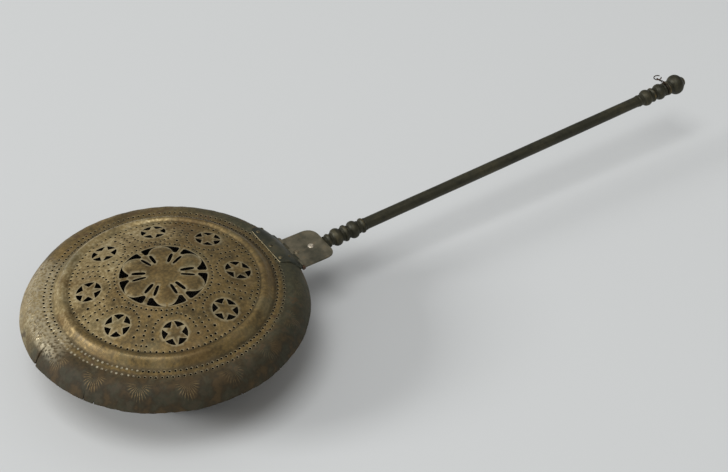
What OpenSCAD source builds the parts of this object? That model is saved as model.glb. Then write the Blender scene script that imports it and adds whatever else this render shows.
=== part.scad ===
// Brass bed warming pan: an ember bowl, a pierced domed lid hinged at the handle side,
// and a long turned handle with a wire hanger.
// +Z is up, the handle runs along +X, and the origin is the centre of the bowl's flat base.

/* [Lid] */
// Diameter of the lid across its edge
lid_d = 310.6; // [300:0.2:322]
// Thickness of the lid's sheet
lid_t = 1.3; // [0.8:0.1:2]
// Diameter of the pierced dome
dome_d = 200; // [194:1:206]
// Height of the dome above its border
dome_h = 18; // [12:1:24]
// Width of the flat border between dome and ridge
border_w = 3; // [2:0.5:4]
// Width of the raised ridge
ridge_w = 14; // [12:0.5:16]
// Height of the raised ridge
ridge_h = 4.5; // [3:0.5:6]
// Drop from the border to the ridge's outer foot
ridge_drop = 7; // [5:0.5:9]
// Width of the nearly flat band outside the ridge
band_w = 10.6; // [9:0.2:12]
// Drop across that band
band_drop = 1.7; // [1:0.1:3]
// Drop of the rounded shoulder from the band to the edge
shoulder_drop = 23.5; // [20:0.5:27]
// Fullness of the shoulder's curve
shoulder_power = 2.8; // [2.2:0.1:3.6]

/* [Piercing] */
// Number of pierced stars
star_count = 8; // [6:1:8]
// Diameter of each star's circle
star_d = 27; // [22:1:29]
// Distance of the star centres inside the dome's border
star_in = 20.6; // [18:0.2:23]
// Turn of the first star from the handle, in degrees
star_turn = 25; // [0:1:44]
// Radius of the inner corners of a star
star_core_r = 6.9; // [6:0.1:8]
// Width of a star's point where it meets its circle
star_point_w = 2; // [1.5:0.1:3]
// Diameter of the rosette's outer circle
rosette_d = 93; // [88:1:96]
// Turn of the rosette's first spoke, in degrees
rosette_turn = 36.4; // [0:0.2:60]
// Width of the spokes between the openings
spoke_w = 4.2; // [3:0.2:6]
// Depth of the openings along the rosette's circle
opening_depth = 10; // [7:0.5:12]
// Distance of a slot's middle from the centre
slot_r = 25.9; // [24:0.1:27]
// Length of a slot
slot_l = 14.6; // [11:0.2:16]
// Width of a slot
slot_w = 4; // [3:0.2:4.4]
// Half of the angle between the two slots of a pair
slot_spread = 9.3; // [8:0.1:11]
// Diameter of the round holes
hole_d = 2.6; // [2:0.1:3.2]

/* [Bowl] */
// Height of the rim's wire above the base
bowl_h = 74.5; // [66:0.5:84]
// Thickness of the bowl's sheet
bowl_t = 1.6; // [1.2:0.1:2]
// Radius of the flat base
base_r = 78; // [70:1:82]
// Radius of the rounding between base and wall
base_round = 12; // [8:1:16]
// Radius of the rounding at the top of the wall
shoulder_round = 14; // [10:1:18]
// Height of the upright neck under the rim
neck_h = 10.5; // [8:0.5:14]
// Diameter of the wire in the rim
rim_wire_d = 2.8; // [2:0.2:3.6]
// Distance of the lid's seat inside the lid's edge
seat_in = 5.8; // [5:0.2:8]

/* [Hinge] */
// Width of the hinge and of the tongue
hinge_w = 52; // [44:1:58]
// Radius of the hinge knuckles
knuckle_r = 3; // [2.6:0.1:3.6]
// Diameter of the hinge pin
hinge_pin_d = 2.6; // [2:0.1:3.2]
// Number of knuckles
knuckles = 5; // [3:2:7]
// Distance of the hinge pin outside the lid's edge
hinge_out = 0.5; // [0:0.1:1.5]
// Height of the hinge pin above the lid's edge
hinge_rise = 2.2; // [1.6:0.1:3.2]
// Thickness of the leaf on the lid
leaf_t = 1.4; // [1:0.1:2]
// Distance of the leaf's inner edge from the hinge pin
leaf_l = 29.8; // [26:0.2:32]
// Half-width of the leaf at its inner edge
leaf_inner_w = 32.5; // [30:0.5:36]
// Half-width of the leaf at the lid's edge
leaf_outer_w = 36; // [32:0.5:40]
// Shift of the leaf to the far side
leaf_shift = 4; // [0:0.5:5]

/* [Tongue] */
// Length of the tongue from the hinge pin to its end
tongue_l = 43.6; // [42:0.2:52]
// Thickness of the tongue plate
tongue_t = 1.8; // [1.4:0.1:2.4]
// Radius of the tongue's outer corners
tongue_round = 12; // [6:1:14]
// Width of the bracket under the tongue
bracket_w = 24; // [18:1:30]
// Thickness of the bracket
bracket_t = 2; // [1.5:0.1:3]
// Length of the bracket's leg down the bowl's wall
leg_l = 36; // [30:1:44]
// Width of the handle's palm
palm_w = 18; // [14:1:22]
// Thickness of the handle's palm
palm_t = 3.6; // [3.6:0.2:4.6]
// Distance of the first tongue rivet from the hinge pin
root_rivet_x = 7.6; // [7.2:0.2:10]
// Distance of the main tongue rivet from the hinge pin
main_rivet_x = 26.4; // [22:0.2:30]

/* [Handle] */
// Rise of the handle, in degrees
handle_rise = 1.9; // [0:0.1:4]
// Length of the shaft's tube
shaft_l = 392.5; // [300:0.5:480]
// Diameter of the shaft
shaft_d = 13.6; // [12.4:0.1:14.8]
// Diameter of the shaft's bore
shaft_bore = 10.5; // [9.5:0.1:11]
// Diameter of the tie rod inside the handle
rod_d = 3.4; // [3:0.1:3.5]
// Diameter of the lower knop's two balls
lower_ball_d = 20.4; // [18:0.1:22]
// Diameter of the upper knop's ball
upper_ball_d = 20; // [18:0.1:22]
// Diameter of the grip knob
grip_d = 24.8; // [22:0.1:28]

/* [Hanger] */
// Diameter of the hanger's wire
wire_d = 1.3; // [1:0.1:1.5]
// Radius of the eye, to the middle of its wire
eye_r = 2.1; // [1.9:0.1:2.6]
// Length of the twisted shank that carries the eye
shank_l = 16; // [3:0.5:20]
// Lean of the eye towards the pan, in degrees
hanger_lean = 46; // [0:1:55]
// Radius of the hanging loop, to the middle of its wire
loop_r = 4.6; // [4.2:0.1:6]
// Lean of the loop beyond that of the eye, in degrees
loop_lean = -41; // [-60:1:30]
// Gap in the open loop, in degrees
loop_gap = 40; // [10:5:60]

/* [Rivets] */
// Diameter of the leaf's rivets
leaf_rivet_d = 3; // [2.4:0.1:3.6]
// Diameter of the rivets in the tongue and the bowl
rivet_d = 4; // [3:0.1:4.6]

/* [Fits] */
// Gap between the lid and the bowl's rim
seat_gap = 0.3; // [0.2:0.05:0.5]
// Radial play of rivets and of stacked pieces
play = 0.05; // [0.02:0.01:0.08]
// Side gap between knuckles
knuckle_gap = 0.25; // [0.15:0.05:0.4]
// Seam between the rim's curled edge and the wall
seam_gap = 0.3; // [0.2:0.05:0.5]

/* [Hidden] */
$fn = 72;

brass = [0.45, 0.38, 0.24];
dark_brass = [0.27, 0.26, 0.19];
iron = [0.23, 0.21, 0.18];

// The lid's outer face. Heights are measured from the dome's border.
lid_r = lid_d / 2;
dome_r = dome_d / 2;
dome_ball_r = (dome_r^2 + dome_h^2) / (2 * dome_h);
ridge_in = dome_r + border_w;
ridge_out = ridge_in + ridge_w;
shoulder_r = ridge_out + band_w;
shoulder_top = -ridge_drop - band_drop;
edge_z = shoulder_top - shoulder_drop;
dome_steps = 8;
ridge_steps = 8;
shoulder_steps = 10;

function dome_z(r) = sqrt(dome_ball_r^2 - r^2) - dome_ball_r + dome_h;
function ridge_z(u) = ridge_h * sin(180 * u) - ridge_drop * (1 - cos(180 * u)) / 2;
function brim_z(r) = r < shoulder_r
  ? -ridge_drop - band_drop * (r - ridge_out) / band_w
  : shoulder_top - shoulder_drop * ((r - shoulder_r) / (lid_r - shoulder_r))^shoulder_power;
// Steepness of the brim at a radius, as an angle below the horizontal
function brim_slope(r) = r < shoulder_r
  ? atan(band_drop / band_w)
  : atan(shoulder_drop * shoulder_power / (lid_r - shoulder_r)
    * ((r - shoulder_r) / (lid_r - shoulder_r))^(shoulder_power - 1));

dome_line = [for (i = [0:dome_steps]) let (r = dome_r * i / dome_steps) [r, dome_z(r)]];
ridge_line = [for (i = [0:ridge_steps]) let (u = i / ridge_steps) [ridge_in + ridge_w * u, ridge_z(u)]];
shoulder_line = [
  for (i = [0:shoulder_steps])
    let (r = shoulder_r + (lid_r - shoulder_r) * (i / shoulder_steps)^0.7) [r, brim_z(r)]
];
brim_line = concat([ridge_line[ridge_steps]], shoulder_line);
lid_line = concat(dome_line, ridge_line, shoulder_line);

// A line of [radius, height] points moved by a distance along its normals, upwards if positive
function unit(v) = v / norm(v);
function normal(line, i) =
  let (a = line[max(i - 1, 0)], b = line[min(i + 1, len(line) - 1)], t = unit(b - a)) [-t.y, t.x];
function moved(line, d) = [
  for (i = [0:len(line) - 1]) line[i].x == 0 ? line[i] + [0, d] : line[i] + d * normal(line, i)
];
function reversed(line) = [for (i = [len(line) - 1:-1:0]) line[i]];
function band(line, d0, d1) = concat(moved(line, d1), reversed(moved(line, d0)));

// The bowl's rim. Its rolled edge touches the lid's underside at the seat.
channel_r = rim_wire_d / 2 + play;
roll_r = channel_r + bowl_t;
seat_r = lid_r - seat_in;
seat_slope = brim_slope(seat_r);
seat_reach = roll_r + lid_t + seat_gap;
rim_r = seat_r - seat_reach * sin(seat_slope);
border_z = bowl_h + seat_reach * cos(seat_slope) - brim_z(seat_r);

// The bowl's outer face: base, rounding, straight wall, rounding and upright neck
wall_r = rim_r - channel_r;
shoulder_c = [wall_r - shoulder_round, bowl_h - neck_h];
base_c = [base_r, base_round];
wall_span = base_c - shoulder_c;
wall_turn = atan2(wall_span.y, wall_span.x)
  + acos((shoulder_round - base_round) / norm(wall_span));
wall_n = [cos(wall_turn), sin(wall_turn)];
wall_top = shoulder_c + shoulder_round * wall_n;
wall_dir = [wall_n.y, -wall_n.x];
function arc(c, r, from, to, steps = 6) =
  [for (i = [0:steps]) let (a = from + (to - from) * i / steps) c + r * [cos(a), sin(a)]];
bowl_line = concat(
  [[0, 0]],
  arc(base_c, base_round, -90, wall_turn),
  arc(shoulder_c, shoulder_round, wall_turn, 0)
);
// The wall goes on into a curl round the rim's wire, which ends just short of the wall
curl_end = asin((channel_r - seam_gap) / roll_r) - 90;
curl_line = arc([rim_r, bowl_h], channel_r, 180, curl_end, 16);

// Hinge and tongue
hinge_x = lid_r + hinge_out;
hinge_z = border_z + edge_z + hinge_rise;
knuckle_w = hinge_w / knuckles;
hinge_clear = 0.35;
notch_clear = 0.6;
notch_x = hinge_x - knuckle_r - notch_clear;
tongue_z = hinge_z - knuckle_r;
tongue_end = hinge_x + tongue_l;
leaf_x = hinge_x - leaf_l;
link_angle = 121;
link_l = 10.5;
pin_head_l = 2.8;

// Bracket, palm and handle, stacked under the tongue
palm_z = tongue_z - palm_t;
bracket_z = palm_z - bracket_t;
palm_start = root_rivet_x - rivet_d - 1;
bracket_end = hinge_x + main_rivet_x + 8;
handle_z = palm_z + palm_t / 2;

// Places of the piercing
star_ring_r = dome_r - star_in;
rosette_r = rosette_d / 2;
hole_ring_r = dome_r - 14;
inner_hole_r = rosette_r + 13;

// Rivets: head sizes, and places from the leaf's inner edge and down the bowl's wall
burr_h = 0.8;
burr_share = 0.85;
leaf_head_d = leaf_rivet_d + 2;
leaf_burr_gap = 0.25;
leaf_rivets_at = [[5.2, 1], [4.4, -21], [5.4, 28], [15, 36], [16.5, -20]];
leg_head_d = rivet_d + 3;
leg_head_h = 1.4;
leg_rivets = [[7, -2.6], [7, 2.6], [leg_l - 8, 0]];
root_head_d = rivet_d + 2.6;
root_head_h = 0.9;
main_head_d = rivet_d + 3.4;
main_head_h = 1.5;
collar_d = 16.2;
rod_end = 0.4;
rod_root = 2;

// Lengths of the handle's pieces
collar_s = (collar_d / 2) * tan(handle_rise) + play;
collar_l = 9.1;
lower_l = 35.8;
lower_ferrule_l = 10;
upper_ferrule_l = 6;
upper_l = 20.3;
vase_l = 16.8;
grip_l = 26;
button_l = 2.9;
spigot_l = 9;
knop_wall = 3;

// Places of the handle's pieces, from the tongue's end
lower_s = collar_s + collar_l;
lower_ferrule_s = lower_s + lower_l;
shaft_s = lower_ferrule_s + lower_ferrule_l;
upper_ferrule_s = shaft_s + shaft_l;
upper_s = upper_ferrule_s + upper_ferrule_l;
vase_s = upper_s + upper_l;
grip_s = vase_s + vase_l;
button_s = grip_s + grip_l;
handle_l = button_s + button_l;

// The hanger sits in the groove between the vase and the grip knob
groove_r = 7.1;
groove_w = 2.4;
groove_s = grip_s + groove_w / 2;
ring_r = groove_r + play + wire_d / 2;
eye_c = shank_l + eye_r;
link_play = 0.12;
loop_c = loop_r - wire_d - link_play;

// Puts children on the handle's axis, with their +Z along the handle
module on_handle() {
  translate([tongue_end, 0, handle_z]) rotate([0, 90 - handle_rise, 0]) children();
}

// Puts children at the top of the hanger's ring, with +Z out along the leaning shank
module on_hanger() {
  on_handle() translate([-ring_r, 0, groove_s]) rotate([0, -90 - hanger_lean, 0]) children();
}

// A rivet along Z: the domed head stands on z = 0, and the shank goes down through the grip
module rivet(d, head_d, head_h, grip) {
  dome_ball = (head_d^2 / 4 + head_h^2) / (2 * head_h);
  intersection() {
    translate([0, 0, head_h - dome_ball]) sphere(dome_ball);
    cylinder(d = head_d, h = head_h);
  }
  translate([0, 0, -grip - burr_h / 2]) cylinder(d = d, h = grip + burr_h);
  translate([0, 0, -grip - burr_h]) cylinder(d = head_d * burr_share, h = burr_h);
}

// One turned bead in a profile: its place along the handle, its diameter and its width
module bead(s, d, w) {
  translate([d / 2 - w / 2, s]) circle(d = w);
  translate([0, s - w / 2]) square([d / 2 - w / 2, w]);
}

// A turned piece that starts at s0, with beads placed from its start, a hollow round the rod,
// and a spigot for the shaft's bore that starts at spigot_s
module turned(s0, l, core_d, beads, hollow_d = 0, spigot_s = undef) {
  on_handle() rotate_extrude() difference() {
    union() {
      intersection() {
        union() {
          translate([0, s0]) square([core_d / 2, l]);
          for (b = beads) bead(s0 + b[0], b[1], b[2]);
        }
        translate([0, s0]) square([core_d * 2, l]);
      }
      if (spigot_s != undef) translate([0, spigot_s]) square([shaft_bore / 2 - play, spigot_l]);
    }
    translate([0, s0 - spigot_l * 2]) square([rod_d / 2 + play, l + spigot_l * 4]);
    if (hollow_d > 0) translate([0, s0 + knop_wall]) square([hollow_d / 2, l - 2 * knop_wall]);
  }
}

// Wire bent to a circle round Z
module wire_ring(r) {
  rotate_extrude() translate([r, 0]) circle(d = wire_d);
}

module pan_bowl() {
  color(brass) difference() {
    rotate_extrude() polygon(band(concat(bowl_line, curl_line), 0, bowl_t));
    at_leg_rivets() translate([0, 0, -bowl_t * 3]) cylinder(d = rivet_d + 2 * play, h = bowl_t * 6);
  }
}

module rim_wire() {
  color(iron) rotate_extrude() translate([rim_r, bowl_h]) circle(d = rim_wire_d);
}

// Puts children on the bracket's outer face where its leg is riveted to the bowl
module at_leg_rivets() {
  for (p = leg_rivets) {
    spot = wall_top + wall_dir * p[0] + wall_n * bracket_t;
    rotate([0, 0, p[1]]) translate([spot.x, 0, spot.y]) rotate([0, 90 - wall_turn, 0]) children();
  }
}

// An iron strap under the palm, bent down along the bowl's wall
module bowl_bracket() {
  leg_line = concat([wall_top + wall_dir * leg_l], arc(shoulder_c, shoulder_round, wall_turn, 0));
  color(iron) difference() {
    union() {
      intersection() {
        rotate_extrude() polygon(band(leg_line, -bracket_t, 0));
        translate([0, -bracket_w / 2, 0]) cube([lid_r, bracket_w, palm_z]);
      }
      translate([base_r, -bracket_w / 2, bracket_z]) cube([bracket_end - base_r, bracket_w, bracket_t]);
    }
    rotate_extrude() polygon(concat(bowl_line, [[wall_r, bowl_h], [0, bowl_h]]));
    at_leg_rivets() translate([0, 0, -bracket_t * 2]) cylinder(d = rivet_d + 2 * play, h = bracket_t * 4);
    tongue_rivet_holes();
  }
}

module bracket_rivets() {
  color(iron) at_leg_rivets() rivet(rivet_d, leg_head_d, leg_head_h, bracket_t + bowl_t + play);
}

module tongue_rivet_holes() {
  for (x = [root_rivet_x, main_rivet_x])
    translate([hinge_x + x, 0, 0]) cylinder(d = rivet_d + 2 * play, h = border_z);
}

// Knuckles of the hinge whose number is odd (first = 1) or even (first = 0), widened by a margin
module knuckle_row(first, r, margin) {
  for (i = [first:2:knuckles - 1])
    translate([hinge_x, -hinge_w / 2 + i * knuckle_w + knuckle_gap / 2 - margin, hinge_z])
      rotate([-90, 0, 0]) cylinder(r = r, h = knuckle_w - knuckle_gap + 2 * margin);
}

module pin_hole() {
  translate([hinge_x, -hinge_w, hinge_z]) rotate([-90, 0, 0])
    cylinder(d = hinge_pin_d + 2 * play, h = 2 * hinge_w);
}

module tongue_plate() {
  straight = tongue_l - tongue_round;
  color(dark_brass) difference() {
    union() {
      translate([hinge_x, 0, tongue_z]) linear_extrude(tongue_t) {
        translate([0, -hinge_w / 2]) square([straight, hinge_w]);
        translate([0, tongue_round - hinge_w / 2]) square([tongue_l, hinge_w - 2 * tongue_round]);
        for (side = [-1, 1])
          translate([straight, side * (hinge_w / 2 - tongue_round)]) circle(tongue_round);
      }
      knuckle_row(0, knuckle_r, 0);
    }
    knuckle_row(1, knuckle_r + hinge_clear, knuckle_gap);
    pin_hole();
    tongue_rivet_holes();
  }
}

module root_rivet() {
  grip = tongue_t + palm_t + bracket_t;
  color(brass) translate([hinge_x + root_rivet_x, 0, tongue_z + tongue_t])
    rivet(rivet_d, root_head_d, root_head_h, grip);
}

// The main rivet has a hollow in the middle of its head
module main_rivet() {
  grip = tongue_t + palm_t + bracket_t;
  color(brass) translate([hinge_x + main_rivet_x, 0, tongue_z + tongue_t]) difference() {
    rivet(rivet_d, main_head_d, main_head_h, grip);
    translate([0, 0, main_head_h / 2]) cylinder(d = main_head_d * 0.45, h = main_head_h);
  }
}

// Flat palm under the tongue, drawn out into the rod that ties the handle together
module handle_tang() {
  color(iron) difference() {
    union() {
      translate([hinge_x + palm_start, -palm_w / 2, palm_z]) cube([tongue_l - palm_start, palm_w, palm_t]);
      on_handle() translate([0, 0, -rod_root]) cylinder(d = rod_d, h = handle_l + rod_end + rod_root);
    }
    tongue_rivet_holes();
  }
}

module handle_collar() {
  color(dark_brass) turned(collar_s, collar_l, 13.4, [[4.8, collar_d, 4.4]]);
}

module lower_knop() {
  color(dark_brass)
    turned(
      lower_s, lower_l, 14,
      [[6.6, lower_ball_d, 12.6], [17.6, 19.3, 5.4], [28.5, lower_ball_d, 12]],
      10
    );
}

module lower_ferrule() {
  color(dark_brass) turned(lower_ferrule_s, lower_ferrule_l, shaft_d + 0.6,
    [[4.7, shaft_d + 4, 4.4], [8.4, shaft_d + 1.2, 2]], 0, shaft_s);
}

module shaft_tube() {
  color(dark_brass) on_handle() translate([0, 0, shaft_s]) difference() {
    cylinder(d = shaft_d, h = shaft_l);
    translate([0, 0, -1]) cylinder(d = shaft_bore, h = shaft_l + 2);
  }
}

module upper_ferrule() {
  color(dark_brass) turned(upper_ferrule_s, upper_ferrule_l, shaft_d + 0.2,
    [[2.4, shaft_d + 1.1, 2.4]], 0, upper_ferrule_s - spigot_l);
}

module upper_knop() {
  color(dark_brass)
    turned(upper_s, upper_l, 13.8, [[7.7, upper_ball_d, 13.4], [17.1, 17.8, 3.6]], 10);
}

module vase_knop() {
  color(dark_brass) turned(vase_s, vase_l, 14.8, [[8, 19.6, 13.6], [15.2, 16.4, 2.2]], 11);
}

module grip_knob() {
  color(dark_brass) turned(grip_s, grip_l, 2 * groove_r,
    [[groove_w + 1.5, 18, 3], [6.6, 16.8, 2.4], [16.8, grip_d, 17.6]], 11);
}

module end_button() {
  color(dark_brass) turned(button_s, button_l, 8, [[button_l / 2, 11.8, button_l]]);
}

// Pin with a knob at the near end and a small peened head at the far end
module hinge_pin() {
  color(iron) translate([hinge_x, 0, hinge_z]) rotate([-90, 0, 0]) {
    translate([0, 0, -hinge_w / 2 - pin_head_l]) cylinder(d = hinge_pin_d, h = hinge_w + 1.5 * pin_head_l);
    translate([0, 0, -hinge_w / 2 - pin_head_l]) cylinder(d = 2 * knuckle_r - 1.4, h = pin_head_l - play);
    translate([0, 0, hinge_w / 2 + play]) cylinder(d = hinge_pin_d + 1, h = pin_head_l / 2);
  }
}

// Wire round the handle's groove, twisted into a shank with an eye
module hanger_collar() {
  color(iron) {
    on_handle() translate([0, 0, groove_s]) wire_ring(ring_r);
    on_hanger() {
      cylinder(d = wire_d * 1.5, h = shank_l);
      translate([0, 0, eye_c]) rotate([0, 90, 0]) wire_ring(eye_r);
    }
  }
}

// Open wire loop that hooks through the eye
module hanging_loop() {
  color(iron) on_hanger() translate([0, 0, eye_c + eye_r]) rotate([0, -loop_lean, 0])
    translate([0, 0, loop_c]) rotate([90, 0, 0]) difference() {
      wire_ring(loop_r);
      rotate([0, 0, 90 - loop_gap]) linear_extrude(2 * wire_d, center = true)
        polygon([[0, 0], 2 * loop_r * [cos(-loop_gap / 2), sin(-loop_gap / 2)],
          2 * loop_r * [cos(loop_gap / 2), sin(loop_gap / 2)]]);
    }
}

// Copies children on a circle of radius r, and turns them with it
module around(count, r, turn) {
  for (i = [0:count - 1]) rotate(turn + 360 * i / count) translate([r, 0]) children();
}

// A six-pointed star left standing in its circle
module star_openings() {
  a = star_core_r * sin(30);
  c = star_core_r * cos(30);
  tip = (a * star_d / 2 - star_point_w / 2 * c) / (a - star_point_w / 2);
  difference() {
    circle(d = star_d);
    polygon([for (i = [0:11]) (i % 2 == 0 ? tip : star_core_r) * [cos(30 * i), sin(30 * i)]]);
  }
}

// The opening between a spoke and a petal's tip
module petal_opening() {
  a0 = asin(spoke_w / 2 / rosette_r);
  a1 = 30 - asin(spoke_w * 0.6 / rosette_r);
  steps = 8;
  petal_rise = 0.93; // the part of the opening's depth that the petal's edge climbs
  outer = [for (i = [0:steps]) let (a = a0 + (a1 - a0) * i / steps) rosette_r * [cos(a), sin(a)]];
  inner = [
    for (i = [steps - 1:-1:1])
      let (
        u = i / steps,
        a = a0 + (a1 - a0) * u,
        r = rosette_r - opening_depth * (1 - petal_rise * sin(90 * max(0, (u - 0.2) / 0.8)))
      ) r * [cos(a), sin(a)]
  ];
  corner = [rosette_r - opening_depth * 0.85, spoke_w / 2];
  polygon(concat(outer, inner, [corner]));
}

module rosette_openings() {
  around(6, 0, rosette_turn) {
    petal_opening();
    mirror([0, 1]) petal_opening();
    for (side = [-1, 1]) rotate(side * slot_spread) translate([slot_r, 0])
      square([slot_l, slot_w], center = true);
  }
}

// Round holes between two stars
module frame_holes() {
  around(star_count, 0, star_turn + 180 / star_count) {
    for (side = [-1, 1]) rotate(side * 6.6) translate([hole_ring_r, 0]) circle(d = hole_d);
    translate([inner_hole_r, 0]) circle(d = hole_d);
  }
}

module piercing() {
  around(star_count, star_ring_r, star_turn) star_openings();
  rosette_openings();
  frame_holes();
}

// Puts children on the leaf's outer face where it is riveted to the lid
module at_leaf_rivets() {
  for (p = leaf_rivets_at) {
    x = leaf_x + p.x;
    r = norm([x, p.y]);
    rotate([0, 0, atan2(p.y, x)]) translate([r, 0, border_z + brim_z(r)])
      rotate([0, brim_slope(r), 0]) translate([0, 0, leaf_t]) children();
  }
}

module leaf_rivet_holes() {
  at_leaf_rivets() translate([0, 0, -lid_t * 3]) cylinder(d = leaf_rivet_d + 2 * play, h = lid_t * 6);
}

module lid() {
  color(brass) difference() {
    translate([0, 0, border_z]) rotate_extrude() polygon(band(lid_line, -lid_t, 0));
    translate([0, 0, hinge_z]) linear_extrude(border_z) piercing();
    translate([notch_x, -hinge_w / 2 - notch_clear, tongue_z])
      cube([lid_r, hinge_w + 2 * notch_clear, border_z - tongue_z]);
    leaf_rivet_holes();
  }
}

// The sloping link between the leaf and its knuckles, down to halfway through the leaf's sheet
module leaf_link() {
  d = [cos(link_angle), sin(link_angle)];
  n = [sin(link_angle), -cos(link_angle)] * leaf_t / 2;
  top = d * link_l + n;
  back = notch_x - hinge_x;
  front = -n + d * (back + n.x) / d.x;
  difference() {
    translate([hinge_x, hinge_w / 2, hinge_z]) rotate([90, 0, 0]) linear_extrude(hinge_w)
      polygon([n, top, [back - 3, top.y - 3], [back - 3, 0], front, -n]);
    intersection() {
      translate([0, 0, border_z]) rotate_extrude()
        polygon(concat([[0, edge_z]], moved(brim_line, leaf_t / 2)));
      translate([0, -lid_r, 0]) cube([notch_x, lid_d, border_z * 2]);
    }
  }
}

// Plate riveted on the brim, with its knuckles round the hinge pin
module lid_leaf() {
  color(dark_brass) difference() {
    union() {
      intersection() {
        translate([0, 0, border_z]) rotate_extrude() polygon(band(brim_line, 0, leaf_t));
        linear_extrude(border_z * 2) polygon([
          [leaf_x, leaf_shift - leaf_inner_w], [notch_x, leaf_shift - leaf_outer_w],
          [notch_x, leaf_shift + leaf_outer_w], [leaf_x, leaf_shift + leaf_inner_w]
        ]);
      }
      leaf_link();
      knuckle_row(1, knuckle_r, 0);
    }
    knuckle_row(0, knuckle_r + hinge_clear, knuckle_gap);
    pin_hole();
    leaf_rivet_holes();
  }
}

module leaf_rivets() {
  color(brass) at_leaf_rivets() rivet(leaf_rivet_d, leaf_head_d, 1, leaf_t + lid_t + leaf_burr_gap);
}

pan_bowl();
rim_wire();
bowl_bracket();
bracket_rivets();
tongue_plate();
root_rivet();
main_rivet();
handle_tang();
handle_collar();
lower_knop();
lower_ferrule();
shaft_tube();
upper_ferrule();
upper_knop();
vase_knop();
grip_knob();
end_button();
hinge_pin();
hanger_collar();
hanging_loop();
lid();
lid_leaf();
leaf_rivets();
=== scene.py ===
# %% [markdown]
# # A brass bed warming pan
#
# The pan was filled with embers and moved about between the sheets. It has a deep sheet bowl, a domed and
# pierced lid that hinges at the handle, a riveted tongue that carries the long turned handle, and a bent
# wire to hang it up by.
#
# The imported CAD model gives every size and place. This notebook dresses it: pieces of sheet and turned work
# are computed as surfaces with numpy, and each gets a finish made of nodes. Pieces are measured in
# millimetres in the model's frame: +Z is up, the handle runs along +X, and the origin is the middle of the
# bowl's base. The camera, the floor and the lamps are placed in metres.

# %% Load the frame
import bpy
import numpy as np
from mathutils import Matrix
from mathutils.geometry import delaunay_2d_cdt


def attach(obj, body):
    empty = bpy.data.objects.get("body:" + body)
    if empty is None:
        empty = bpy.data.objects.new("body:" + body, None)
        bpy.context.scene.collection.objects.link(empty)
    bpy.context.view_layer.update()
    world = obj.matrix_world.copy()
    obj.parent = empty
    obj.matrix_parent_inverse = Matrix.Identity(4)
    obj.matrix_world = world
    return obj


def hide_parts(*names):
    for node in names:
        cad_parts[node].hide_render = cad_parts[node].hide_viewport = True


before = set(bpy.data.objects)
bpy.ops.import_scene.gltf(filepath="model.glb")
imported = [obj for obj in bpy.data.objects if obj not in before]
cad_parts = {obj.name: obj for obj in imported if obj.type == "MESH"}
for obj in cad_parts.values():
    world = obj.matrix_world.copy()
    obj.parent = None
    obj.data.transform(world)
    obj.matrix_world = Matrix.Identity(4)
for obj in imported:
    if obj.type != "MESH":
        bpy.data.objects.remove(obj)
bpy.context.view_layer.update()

# %% [markdown]
# ## The camera
#
# The pan is seen from its near left, about 42 degrees above the floor, through a long lens. A focal length
# of 1800 pixels on a frame of 728 by 472 is a lens of 89 mm on a sensor 36 mm wide. The camera's axes are
# written out as three directions, because they were solved together with the pan's own circles and lines.

# %% Place the camera
FOCAL_PIXELS, FRAME_PIXELS, SENSOR_MM = 1800, 728, 36
CAMERA_PLACE, FAR_CLIP = (-0.59078, -1.26951, 1.40398), 30
to_right, to_down, ahead = np.array([
    (0.83838, -0.54497, 0.01126), (-0.35532, -0.56207, -0.74688), (0.41336, 0.62216, -0.66486)])
camera = bpy.data.objects.new("photo_camera", bpy.data.cameras.new("photo_camera"))
camera.data.sensor_width = SENSOR_MM
camera.data.lens = FOCAL_PIXELS * SENSOR_MM / FRAME_PIXELS
camera.data.clip_end = FAR_CLIP
pose = np.eye(4)
pose[:3, :3] = np.stack([to_right, -to_down, -ahead], axis=1)
pose[:3, 3] = CAMERA_PLACE
camera.matrix_world = Matrix(pose.tolist())
bpy.context.collection.objects.link(camera)
bpy.context.scene.camera = camera
print("lens", round(camera.data.lens, 2), "mm")

# %% [markdown]
# ## From arrays to pieces
#
# Each piece below is two arrays: points, and faces that number them. One helper makes the mesh. It turns
# the faces round where the enclosed volume comes out negative, so that they look outwards, and writes
# marks: numbers on points or faces, such as how sooty or how rubbed the metal is, which the finishes read
# back as attributes.

# %% Helper: make a piece
MM = 0.001


def enclosed_volume(points, faces):
    """A sixth of the sum of a . (b x c) over every triangle of every face. It is positive if they look
    outwards."""
    total = 0.0
    for block in faces:
        for k in range(1, block.shape[1] - 1):
            a, b, c = points[block[:, 0]], points[block[:, k]], points[block[:, k + 1]]
            total += np.einsum("ij,ij->", a, np.cross(b, c)) / 6
    return total


def make_piece(name, shape, body, stands_for, marks=None, crease=35, face_marks=None):
    """Turns points and blocks of triangles or quads into a smooth mesh that stands for CAD nodes. Edges
    stay sharp beyond the crease angle, in degrees."""
    points, faces = np.asarray(shape[0], float), [np.asarray(block) for block in shape[1]]
    volume = enclosed_volume(points, faces)
    if volume < 0:
        faces = [block[:, ::-1] for block in faces]
    mesh = bpy.data.meshes.new(name)
    mesh.from_pydata((points * MM).tolist(), [], [row for block in faces for row in block.tolist()])
    mesh.polygons.foreach_set("use_smooth", np.ones(len(mesh.polygons), bool))
    mesh.set_sharp_from_angle(angle=np.radians(crease))
    for domain, given in (("POINT", marks), ("FACE", face_marks)):
        for mark, values in (given or {}).items():
            layer = mesh.attributes.new(mark, "FLOAT", domain)
            layer.data.foreach_set("value", np.asarray(values, np.float32))
    mesh.validate()
    piece = bpy.data.objects.new(name, mesh)
    bpy.context.collection.objects.link(piece)
    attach(piece, body)
    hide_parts(*stands_for)
    print(f"{name}: {len(points)} points, {sum(len(f) for f in faces)} faces, {abs(volume) / 1000:.1f} cm3")
    return piece


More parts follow.
